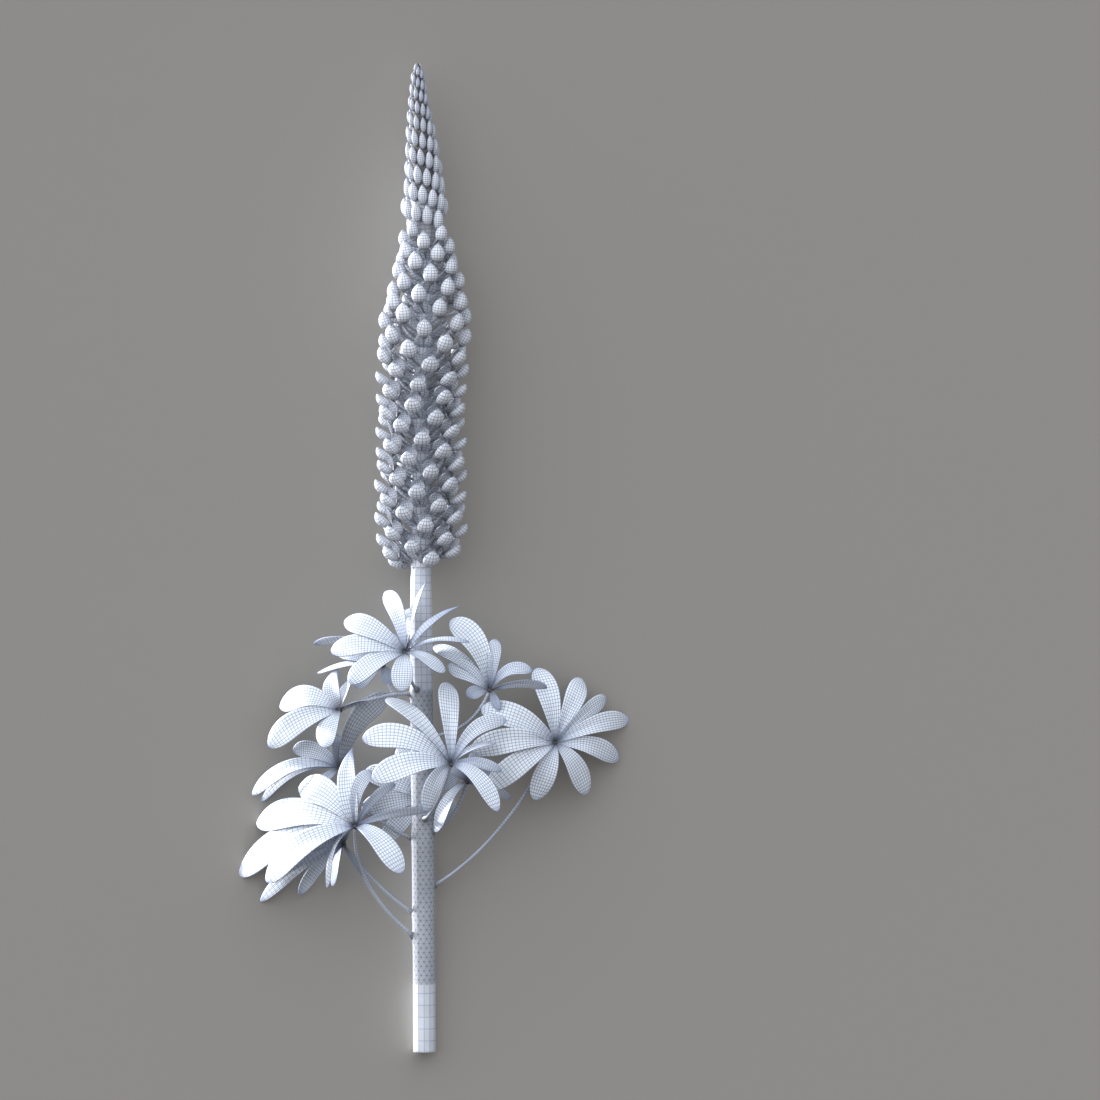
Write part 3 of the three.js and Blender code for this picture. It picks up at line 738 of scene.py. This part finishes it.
# %% Where every flower stands
flowers = np.arange(int((BUDS_BEGIN - FIRST_FLOWER) / FLOWER_RISE))
flower_y = FIRST_FLOWER + flowers * FLOWER_RISE
flower_turn = along_knots(FIRST_TURN, flower_y, eased=True) + flowers * GOLDEN_ANGLE
openness = np.clip((FLOWERS_SHUT_ABOVE - flower_y) / (FLOWERS_SHUT_ABOVE - FLOWERS_OPEN_BELOW), 0, 1)
flower_centre, flower_tangent, flower_side, flower_up = axis_at(flower_y)
flower_out = outward(flower_side, flower_up, flower_turn)
own_size = 1 + chance.uniform(-SIZE_JITTER, SIZE_JITTER, len(flowers))
flower_width = along_knots(FLOWER_WIDTH, flower_y) * own_size
flower_length = along_knots(FLOWER_LENGTH, flower_y) * own_size
flower_thick = flower_width * mixed(openness, SHUT_THICKNESS, OPEN_THICKNESS)
flower_lean = mixed(openness, SHUT_LEAN, OPEN_LEAN)
flower_lean += chance.uniform(-LEAN_JITTER, LEAN_JITTER, len(flowers))
flower_way = leaning(flower_tangent, flower_out, flower_lean)
climb = flower_length * np.cos(np.radians(flower_lean))
spread = flower_length * np.sin(np.radians(flower_lean))
flower_reach = along_knots(SPIKE_HALF_WIDTH, flower_y + climb * WIDEST_AT)
base_reach = np.where(openness > 0, flower_reach - spread - OPEN_INSET,
                      flower_reach - flower_thick / 2 - spread * SHUT_INSET)
flower_base = (flower_centre + flower_out * base_reach[:, None]
               - flower_tangent * climb[:, None] * BASE_DROP)
root_y = np.maximum(flower_y - PEDICEL_CLIMB - climb * ROOT_DROP, STALK_LENGTH + ROOT_DEPTH)
root_centre, _, root_side, root_up = axis_at(root_y)
flower_root = root_centre + outward(root_side, root_up, flower_turn) * ROOT_DEPTH
print(len(flowers), "flowers,", int((openness > 0).sum()), "of them open or opening")


# %% Eggs on a bent axis
TAPER_DELAY = 1.25


def egg_outline(share, widest, slender, blunt):
    """Width share along an egg: a sine to the power slender as far as its widest place.

    Then comes a cosine to the power blunt, whose angle grows by TAPER_DELAY, late at first.
    """
    low = np.sin(np.pi / 2 * np.clip(share / widest, 0, 1)) ** slender
    high = np.cos(np.pi / 2 * np.clip((share - widest) / (1 - widest), 0, 1) ** TAPER_DELAY)
    return np.where(share < widest, low, np.clip(high, 0, 1) ** blunt)


def bent_axis(base, run, bulge, share):
    """A parabola from base to base + run whose middle stands out by bulge, and its tangents."""
    base, run, bulge, share = base[:, None], run[:, None], bulge[:, None], share[:, None]
    line = base + run * share + bulge * (4 * share * (1 - share))
    return line, unit(run + bulge * (4 - 8 * share))


def rounded_shares(rows):
    """Shares of a length at (1 - cos t) / 2, which crowd towards both ends."""
    return (1 - np.cos(np.linspace(0, np.pi, rows + 2)[1:-1])) / 2


def eggs(base, way, out, width, thick, length, bulge, outline, rows, columns, net, tint=1.0):
    """Pointed eggs: ellipses across a bent axis, sized by the egg outline.

    The axis runs along way and bends by bulge millimetres to the outer side. The ellipses lie
    along u = way x out and u x the axis's own tangent, so they stay square to the bend.
    """
    share = rounded_shares(rows)
    u, v = crosswise(way, out)
    run = way * length[:, None]
    line, tangent = bent_axis(base, run, v * bulge[:, None], share)
    size = egg_outline(share, *outline)
    half_width = u[:, None] * (size * width[:, None] / 2)[..., None]
    half_thick = np.cross(u[:, None], tangent) * (size * thick[:, None] / 2)[..., None]
    rings = above_floor(tube_rings(line, half_width, half_thick, 1, columns))
    girth = np.pi * (width + thick)[:, None] / 2 * size
    cell = paired(girth / net[0], length[:, None] / net[1])
    return skin(rings, np.linspace(0, net[0], columns + 1), share * net[1], cell,
                above_floor(base), above_floor(base + run), tint)


# %% Keels and shut flowers
KEEL_BULGE = 0.17
KEEL_NET = (13, 8)
KEEL_OUTLINE = (0.56, 0.8, 0.8)
SHUT_OUTLINE = (0.42, 0.5, 1.05)
KEEL_ROWS = 11
KEEL_COLUMNS = 16
KEEL_FOOT_DARKNESS = 0.72
KEEL_FOOT_REACH = 0.22
OPEN_FROM = 0.05
open_ones = openness > OPEN_FROM
bulge = flower_length * KEEL_BULGE * openness


def flower_eggs(chosen):
    """Eggs for the chosen flowers, rounder the more they are open, with painted shade at the calyx."""
    tint = foot_shade(rounded_shares(KEEL_ROWS), KEEL_FOOT_DARKNESS, KEEL_FOOT_REACH)
    outline = [mixed(openness[chosen, None], shut, wide)
               for shut, wide in zip(SHUT_OUTLINE, KEEL_OUTLINE)]
    numbers = (flower_base, flower_way, flower_out, flower_width, flower_thick, flower_length, bulge)
    return eggs(*(array[chosen] for array in numbers), outline, KEEL_ROWS, KEEL_COLUMNS, KEEL_NET, tint)


add_piece("spike_keels", [flower_eggs(open_ones)], flower_clay, ["flower_spike"])
add_piece("spike_shut_flowers", [flower_eggs(~open_ones)], flower_clay)

# %% [markdown]
# The banner is a thin petal. A single sheet would have no thickness from its edge, so its ring is
# a flat loop: over the front from edge to edge and back behind it. It is the other half of the
# clam that the keel makes: half an eggshell, open towards the keel and pointed at its tip.

# %% Blades, for banners, bracts and leaflets alike
PRESSED_THICKNESS = 0.6


def blades(middle, normal, thick, across, share, size, net, ends, tint):
    """The skin of flat loops round blades whose middle surface is copies x rows x columns.

    The upper half of a loop stands half the thickness above it along the normal, and the lower
    half, run backwards, the same below. What would sink into the floor is pressed flat on it.
    across goes from -1 to 1 over a blade and share from 0 to 1 along it. size is its width and
    length in millimetres, and ends are its two poles. The UV across climbs over the top of a
    loop to net[0] and comes back to 0 underneath.
    """
    above = normal * np.asarray(thick / 2)[..., None]
    upper = above_floor(middle + above, np.minimum(thick, PRESSED_THICKNESS))
    lower = above_floor(middle - above)
    rings = np.concatenate([upper, lower[:, :, ::-1]], axis=2)
    over = (across + 1) / 2 * net[0]
    around = np.concatenate([over, over[::-1], over[:1]])
    cell = paired(size[0] / net[0], size[1] / net[1])
    first, last = (above_floor(end, PRESSED_THICKNESS / 2) for end in ends)
    return skin(rings, around, share * net[1], cell, first, last, tint)


# %% Banners
BANNER_LEAN = 24
BANNER_LEAN_SHARE = 0.6
BANNER_RADIUS = 0.42
BANNER_DEPTH = 0.6
BANNER_GIRTH = 3.3
BANNER_LENGTH = 0.82
BANNER_THICKNESS = 0.8
BANNER_THINNING = 0.3
BANNER_OUTLINE = (0.58, 0.7, 1.0)
BANNER_ROWS = 12
BANNER_COLUMNS = 13
BANNER_NET = (8, 7)
HOLLOW_TINT = 1.0
BANNER_BACK_SHADE = 0.95
BANNER_FOOT_DARKNESS = 0.7
BANNER_FOOT_REACH = 0.4


def banners():
    """Half eggshells that lean less than the keel and are open towards it.

    A point across is rib + u x (r sin t) - v x (d r cos t) for t from -90 to 90 degrees, with
    the inner normal v cos t - u d sin t. The radius r is the egg outline, so the two edges meet
    in a point, times the root of the openness, so a flower that has just opened has a narrow
    one. The back has a little painted shade, darker than the hollow, and the foot has painted shade.
    """
    out = flower_out[open_ones]
    base = flower_base[open_ones] + flower_way[open_ones] * ROOT_DEPTH
    lean = np.minimum(BANNER_LEAN, flower_lean[open_ones] * BANNER_LEAN_SHARE)
    way = leaning(flower_tangent[open_ones], out, lean)
    length = flower_length[open_ones, None] * BANNER_LENGTH
    share = rounded_shares(BANNER_ROWS)
    rib = base[:, None] + way[:, None] * (length * share)[..., None]
    radius = (flower_width * BANNER_RADIUS * np.sqrt(openness))[open_ones, None]
    radius = radius * egg_outline(share, *BANNER_OUTLINE)
    across = np.linspace(-1, 1, BANNER_COLUMNS)
    sine, cosine = np.sin(across * np.pi / 2)[:, None], np.cos(across * np.pi / 2)[:, None]
    u, v = (axis[:, None, None] for axis in crosswise(way, out))
    middle = rib[:, :, None] + radius[..., None, None] * (u * sine - v * BANNER_DEPTH * cosine)
    normal = unit(v * cosine - u * BANNER_DEPTH * sine)
    thick = BANNER_THICKNESS - BANNER_THINNING * across**2
    # Painted shade: the back of each banner is a little darker than its hollow, and the foot darker still.
    tint = np.repeat([HOLLOW_TINT, BANNER_BACK_SHADE], len(across))
    tint = tint * foot_shade(share, BANNER_FOOT_DARKNESS, BANNER_FOOT_REACH)[:, None]
    return blades(middle, normal, thick, across, share, (BANNER_GIRTH * radius, length),
                  BANNER_NET, (base, base + way * length), tint)


add_piece("spike_banners", [banners()], flower_clay)

# %% [markdown]
# Each flower hangs on a pedicel, a thin stalk that leaves the rachis a little below it. It is a
# tube along a parabola, and it opens into a small cup, the calyx, that holds the petals. Under
# each pedicel stands a bract, a small pointed leaf. The bracts are what closes the spike: they
# fill its inside, so that hardly any of the floor shows between the flowers.

# %% Pedicels, bracts and the rachis
PEDICEL_RADIUS = 0.9
PEDICEL_SHARES = np.array([0, 0.2, 0.45, 0.7, 0.86, 0.94, 1])
PEDICEL_OUT = 1.5
PEDICEL_SAG = 2.0
PEDICEL_SHADE = 0.65
CALYX_RADIUS = 4.4
CALYX_DEPTH = 2.2
CALYX_FLARE = 5
THIN_NET = (6, 12)
RACHIS_SHADE = [[489, 1], [515, 1], [560, 0.85], [700, 0.8], [745, 0.95], [824, 0.8]]


def bezier(start, bend, end, share):
    """A quadratic Bezier curve and its unit tangents at shares of its way."""
    share = share[:, None]
    start, bend, end = start[:, None], bend[:, None], end[:, None]
    line = (1 - share) ** 2 * start + 2 * share * (1 - share) * bend + share**2 * end
    return line, unit((1 - share) * (bend - start) + share * (end - bend))


def thin_tubes(start, bend, end, radius, share, columns, net, tint=1.0):
    """Tubes of a given radius at each share of a quadratic Bezier curve."""
    line, tangent = bezier(start, bend, end, share)
    rings = above_floor(tube_rings(line, *crosswise(tangent, (0, 0, 1)), radius, columns))
    run = np.linalg.norm(end - start, axis=-1)[:, None]
    cell = paired(2 * np.pi * radius / net[0], run / net[1])
    around = np.linspace(0, net[0], columns + 1)
    return skin(rings, around, share * net[1], cell, line[:, 0], line[:, -1], tint)


def pedicels():
    """Thin tubes from the rachis to each flower, widening into its calyx."""
    share = PEDICEL_SHARES
    end = flower_base + flower_way * CALYX_DEPTH
    bend = (flower_root + end) / 2 + flower_out * PEDICEL_OUT - flower_tangent * PEDICEL_SAG
    radius = mixed(share**CALYX_FLARE, PEDICEL_RADIUS, CALYX_RADIUS)
    # Painted shade: the pedicels are darker all along, as they stand in the shade inside the spike.
    return thin_tubes(flower_root, bend, end, radius, share, columns=6, net=THIN_NET, tint=PEDICEL_SHADE)


BRACT_LENGTH = 23
BRACT_WIDTH = 20
BRACT_LEAN = 48
BRACT_CUP = 1 / 3
BRACT_SINK = 1
BRACT_THICKNESS = 0.7
BRACT_TINT = 1.0
BRACT_ROWS = 6
BRACT_COLUMNS = 5
BRACT_NET = (4, 6)
BRACT_OUTLINE = (0.5, 0.6, 1.0)


def bracts():
    """Pointed leaves from the rachis: half width from the egg outline, edges cupped upwards.

    A point across is rib + u x (half a) + v x (half a^2 cup) for a from -1 to 1.
    """
    foot_reach = along_knots(RACHIS_RADIUS, root_y) - BRACT_SINK
    foot = root_centre + outward(root_side, root_up, flower_turn) * foot_reach[:, None]
    way = leaning(flower_tangent, flower_out, np.full(len(flowers), BRACT_LEAN))
    share = rounded_shares(BRACT_ROWS)
    rib = foot[:, None] + way[:, None] * (BRACT_LENGTH * share)[:, None]
    half = BRACT_WIDTH / 2 * egg_outline(share, *BRACT_OUTLINE)
    across = np.linspace(-1, 1, BRACT_COLUMNS)
    u, v = (axis[:, None, None] for axis in crosswise(way, flower_out))
    cupped = u * across[:, None] + v * BRACT_CUP * across[:, None] ** 2
    middle = rib[:, :, None] + half[:, None, None] * cupped
    return blades(middle, v, BRACT_THICKNESS, across, share, (2 * half, BRACT_LENGTH), BRACT_NET,
                  (foot, foot + way * BRACT_LENGTH), BRACT_TINT)


def core_tube(y, radius, columns, cells, spacing, tint):
    """A tube along the axis between two heights, closed at both ends."""
    centre, _, side, up = axis_at(y)
    rings = tube_rings(centre, side, up, radius, columns)[None]
    cell = paired(2 * np.pi * radius / cells, spacing)
    return skin(rings, np.linspace(0, cells, columns + 1), y / spacing, cell, centre[0], centre[-1], tint)


RACHIS_OVERLAP = 4
RACHIS_SLEEVE = 0.1
RACHIS_PAST_BUDS = 6
rachis_y = np.linspace(STALK_LENGTH - RACHIS_OVERLAP, BUDS_BEGIN + RACHIS_PAST_BUDS, 90)
rachis_radius = along_knots(RACHIS_RADIUS, rachis_y) + RACHIS_SLEEVE * (rachis_y < STALK_LENGTH)
# Painted shade: the rachis darkens along the spike, where the flowers shade it.
rachis = core_tube(rachis_y, rachis_radius, columns=32, cells=12, spacing=HIGH_RING_SPACING,
                   tint=along_knots(RACHIS_SHADE, rachis_y))
spike_inside = add_piece("spike_rachis", [rachis, pedicels(), bracts()], flower_clay)
leave_out(spike_inside, away_from_key)

# %% Buds in two spiral rows
BUD_ROW_STARTS = (40, 220)
FIRST_BUD_RISE = 8
BUD_ROW_PITCH = [[824, 20], [880, 19], [937, 16], [960, 12.5], [994, 11]]
BUDS_PER_TURN = [[824, 11.3], [937, 10.5], [994, 7]]
BUD_WIDTH = [[824, 11], [864, 9.6], [904, 7.4], [937, 5.6], [976, 4.2], [994, 3.8]]
BUD_LENGTH = [[824, 21], [880, 19.5], [920, 17], [950, 13], [994, 9.5]]
BUD_LEAN = [[824, 9], [950, 8], [994, -10]]
BUD_OUTLINE = (0.42, 0.5, 0.9)
BUD_THICKNESS = 0.92
BUD_BULGE = 0.03
BUD_SINK = 0.45
BUD_LEAST_REACH = 0.2
BUD_COLUMNS = 12
BUD_NET = (12, 10)
CORE_SWELL = [[790, 5], [850, 16]]
CORE_SHADE = [[824, 0.62], [845, 0.5], [866, 0.1], [994, 0.08]]
CORE_INSET = 0.8
CORE_LEAST_RADIUS = 1.2
CORE_BELOW_TIP = 3
TIP_BUD = {"height": 981, "width": 4.2, "length": 10.5}
TIP_BUD_TINT = (1, -0.6)
TIP_BUD_ROWS = 9


def bud_places():
    """Heights and angles of the buds: each row turns a share of a circle and climbs with it."""
    places = []
    for degrees in BUD_ROW_STARTS:
        y = BUDS_BEGIN + FIRST_BUD_RISE
        while y < PLANT_LENGTH - FIRST_BUD_RISE:
            places.append((y, degrees))
            per_turn = along_knots(BUDS_PER_TURN, y)
            degrees -= 360 / per_turn
            y += len(BUD_ROW_STARTS) * along_knots(BUD_ROW_PITCH, y) / per_turn
    return np.array(places).T


bud_y, bud_turn = bud_places()
bud_centre, bud_tangent, bud_side, bud_up = axis_at(bud_y)
bud_out = outward(bud_side, bud_up, bud_turn)
bud_width = along_knots(BUD_WIDTH, bud_y)
bud_length = along_knots(BUD_LENGTH, bud_y)
bud_way = leaning(bud_tangent, bud_out, along_knots(BUD_LEAN, bud_y))
bud_reach = along_knots(SPIKE_HALF_WIDTH, bud_y) - bud_width / 2
bud_reach = np.maximum(bud_reach, bud_width * BUD_LEAST_REACH)
bud_base = bud_centre + bud_out * bud_reach[:, None] - bud_way * bud_length[:, None] * BUD_SINK
bud_skin = eggs(bud_base, bud_way, bud_out, bud_width, bud_width * BUD_THICKNESS, bud_length,
                bud_length * BUD_BULGE, BUD_OUTLINE, rows=7, columns=BUD_COLUMNS, net=BUD_NET)

# The core fills the middle of the buds, and swells slowly where it leaves the rachis. Its dark tone is
# painted shadow, for the dark gaps between the rows of buds.
core_y = np.linspace(CORE_SWELL[0][0], PLANT_LENGTH - CORE_BELOW_TIP, 50)
core_radius = along_knots(SPIKE_HALF_WIDTH, core_y) - along_knots(BUD_WIDTH, core_y) * CORE_INSET
core_radius = np.maximum(CORE_LEAST_RADIUS, core_radius)
core_radius = np.minimum(core_radius, along_knots(CORE_SWELL, core_y, eased=True))
core = core_tube(core_y, core_radius, columns=20, cells=10, spacing=4.0,
                 tint=along_knots(CORE_SHADE, core_y))

# One bud stands on the very tip, and is dark at its point.
tip_centre, tip_way, _, tip_up = axis_at([TIP_BUD["height"]])
tip_width, tip_length = np.array([TIP_BUD["width"]]), np.array([TIP_BUD["length"]])
tip_tint = np.linspace(*TIP_BUD_TINT, TIP_BUD_ROWS).clip(0, 1)
tip_bud = eggs(tip_centre, tip_way, tip_up, tip_width, tip_width, tip_length, np.zeros(1), BUD_OUTLINE,
               TIP_BUD_ROWS, BUD_COLUMNS, BUD_NET, tip_tint)
add_piece("spike_buds", [bud_skin, core, tip_bud], flower_clay)
print(len(bud_y), "buds")

# %% [markdown]
# ## The leaves
#
# A lupin's leaf is a fan of narrow leaflets round one hub. A leaflet is narrow at its foot,
# widest past its middle and round at its tip. Near the foot it is folded up like a gutter, and
# towards the tip it opens and turns slightly down, like the back of a spoon.
#
# A subdivided plane bent by hand would do for one leaflet, and there are eighty-seven. Here the
# rib is a Bezier curve from the hub to the tip, arched upwards, and the blade is laid across it:
# at each station its half width comes from one outline formula and its gutter from another.

# %% Leaflets
LEAFLET_ARCH = 0.16
ARCH_TOWARDS_SPIKE = 0.5
RIB_STRETCH = 1.06
LEAFLET_NET = (8, 23)
LEAFLET_ROWS = 34
LEAFLET_COLUMNS = 15
LEAFLET_FROM = 0.02
LEAFLET_TO = 0.998
CROWDED_AT_TIP = 1.5
BLADE_THICKNESS = 0.75
BLADE_THINNING = 0.35
FOOT_THICKENING = 0.9
THICK_FOOT_REACH = 0.08
FOOT_HALF_WIDTH = 0.9
GUTTER_AT_FOOT = 0.35
GUTTER_AT_TIP = -0.14
GUTTER_ROUNDNESS = 1.6
WAVE_HEIGHT = 0.03
WAVE_ALONG = 9
WAVE_ACROSS = 1.5
GROOVE_DEPTH = 0.22
GROOVE_WIDTH = 0.12
LEAF_FOOT_DARKNESS = 0.8
LEAF_FOOT_REACH = 8
UNDERSIDE_SHADE = 0.6


def leaflet_outline(share, pointed):
    """Half width share along a leaflet, at most one.

    It is s^0.7 x (1 - s^3.8)^0.58 with a round tip, or s^0.7 x (1 - s)^1.1 where pointed.
    """
    def raw(s):
        return s**0.7 * np.where(pointed[:, None], (1 - s) ** 1.1, (1 - s**3.8) ** 0.58)
    return raw(share) / raw(np.linspace(0, 1, 200)).max(axis=1, keepdims=True)


def leaflets(leaf):
    """The blades of one leaf, all at once.

    The rib is a Bezier curve from the hub to the tip whose bend stands above the chord's middle.
    Side is the tangent x the leaf's normal, turned about the tangent by the roll. A point across
    is lifted by the gutter x |a|^GUTTER_ROUNDNESS and a wave at the edges, less a groove on the rib.
    """
    hub = np.array(leaf["hub"], float)
    slope = np.array(leaf["slope"], float)
    dx, dy, width, lift, roll, sweep = np.array(leaf["leaflets"], float).T
    normal = unit(np.array([-slope[0], -slope[1], 1.0]))
    chord = np.stack([dx, dy, slope[0] * dx + slope[1] * dy + lift], axis=-1)
    reach = np.linalg.norm(chord, axis=-1)
    arch = unit(normal + (0, ARCH_TOWARDS_SPIKE, 0))
    bend = (hub + chord / 2 + arch * (2 * LEAFLET_ARCH * reach)[:, None]
            + unit(np.cross(chord, normal)) * (2 * sweep)[:, None])
    share = 1 - (1 - np.linspace(0, 1, LEAFLET_ROWS)) ** CROWDED_AT_TIP
    share = mixed(share, LEAFLET_FROM, LEAFLET_TO)
    rib, tangent = bezier(np.broadcast_to(hub, chord.shape), bend, hub + chord, share)
    side = unit(np.cross(tangent, normal))
    turn = np.radians(roll)[:, None, None]
    side = side * np.cos(turn) + np.cross(tangent, side) * np.sin(turn)
    face = np.cross(side, tangent)
    pointed = np.isin(np.arange(len(dx)), leaf.get("pointed", ()))
    half = width[:, None] / 2 * leaflet_outline(share, pointed)
    half = np.maximum(half, FOOT_HALF_WIDTH * (share < 0.5))
    across = np.linspace(-1, 1, LEAFLET_COLUMNS)
    along = share[:, None]
    gutter = mixed(along, GUTTER_AT_FOOT, GUTTER_AT_TIP)
    wave_phase = chance.uniform(0, 2 * np.pi, (len(dx), 1, 1))
    wave = WAVE_HEIGHT * np.sin(along * WAVE_ALONG + wave_phase + across * WAVE_ACROSS) * across**2
    groove = GROOVE_DEPTH * np.exp(-(across / GROOVE_WIDTH) ** 2)
    lift = half[..., None] * (gutter * np.abs(across) ** GUTTER_ROUNDNESS + wave) - groove
    middle = (rib[:, :, None] + side[:, :, None] * (half[..., None] * across)[..., None]
              + face[:, :, None] * lift[..., None])
    thick = (BLADE_THICKNESS * (1 - BLADE_THINNING * across**2)
             + FOOT_THICKENING * np.exp(-along / THICK_FOOT_REACH))
    # Painted shade: darker towards each leaflet's foot, and the whole underside darker than the top.
    tint = foot_shade(share * reach[:, None], LEAF_FOOT_DARKNESS, LEAF_FOOT_REACH)
    tint = tint[..., None] * np.repeat([1, UNDERSIDE_SHADE], len(across))
    return blades(middle, face[:, :, None], thick, across, share, (2 * half, RIB_STRETCH * reach[:, None]),
                  LEAFLET_NET, (rib[:, 0], hub + chord), tint)


# %% Leaf stalks and hubs
PETIOLE_RADIUS = 1.6
PETIOLE_TINT = 0.75
PETIOLE_CELLS = 8
PETIOLE_RING_SPACING = 3.2
PETIOLE_FOOT_DARKNESS = 0.8
PETIOLE_FOOT_REACH = 7
CROWDED_AT_FOOT = 0.8
FOOT_RADIUS = 3.9
FOOT_FLARE_REACH = 5
FOOT_FLARE_POWER = 1.5
FOOT_SINK = 1.65
HUB_RADIUS = 2.9
HUB_HEIGHT = 2.32
HUB_RINGS = 7
HUB_CELLS = 14
HUB_CELLS_PER_RADIAN = 2
HUB_CELL = 1.4
HUB_TINT = 0.05
CLOSE_OVER_FLOOR = "leaf_right"


def petiole(leaf, joint, out):
    """A tube from inside the stalk to the hub, flared at its foot, with painted shade where it joins."""
    start = (joint - out * FOOT_SINK)[None]
    bend, hub = (np.array([leaf[part]], float) for part in ("bend", "hub"))
    run = np.linalg.norm(hub - start)
    share = 1 - (1 - np.linspace(0, 1, 34)) ** CROWDED_AT_FOOT
    flare = np.exp(-(share * run / FOOT_FLARE_REACH) ** FOOT_FLARE_POWER)
    radius = mixed(flare, PETIOLE_RADIUS, FOOT_RADIUS)
    tint = PETIOLE_TINT * foot_shade(share * run, PETIOLE_FOOT_DARKNESS, PETIOLE_FOOT_REACH)
    net = (PETIOLE_CELLS, round(run / PETIOLE_RING_SPACING))
    return thin_tubes(start, bend, hub, radius, share, columns=12, net=net, tint=tint)


def hub_knob(leaf):
    """A flattened ball: rings of radius sin(t) at heights cos(t) along the leaf's normal."""
    hub = np.array(leaf["hub"], float)
    normal = unit(np.array([-leaf["slope"][0], -leaf["slope"][1], 1.0]))
    across = unit(np.cross((1, 0, 0), normal))
    other = np.cross(across, normal)
    polar = np.linspace(0, np.pi, HUB_RINGS + 2)[1:-1]
    centres = hub + normal * (np.cos(polar) * HUB_HEIGHT)[:, None]
    rings = above_floor(tube_rings(centres, other, across, np.sin(polar) * HUB_RADIUS, HUB_CELLS))
    cell = np.full((len(polar), 2), HUB_CELL)
    return skin(rings[None], np.arange(HUB_CELLS + 1.0), polar * HUB_CELLS_PER_RADIAN, cell,
                hub + normal * HUB_HEIGHT, hub - normal * HUB_HEIGHT, HUB_TINT)


for (name, leaf), joint, out in zip(LEAVES.items(), joints, foot_out):
    leaf_skins = [leaflets(leaf), petiole(leaf, joint, out), hub_knob(leaf)]
    fine = add_piece(name + "_fine", leaf_skins, leaf_clay, [name])
    if name == CLOSE_OVER_FLOOR:
        leave_out(fine, away_from_key)
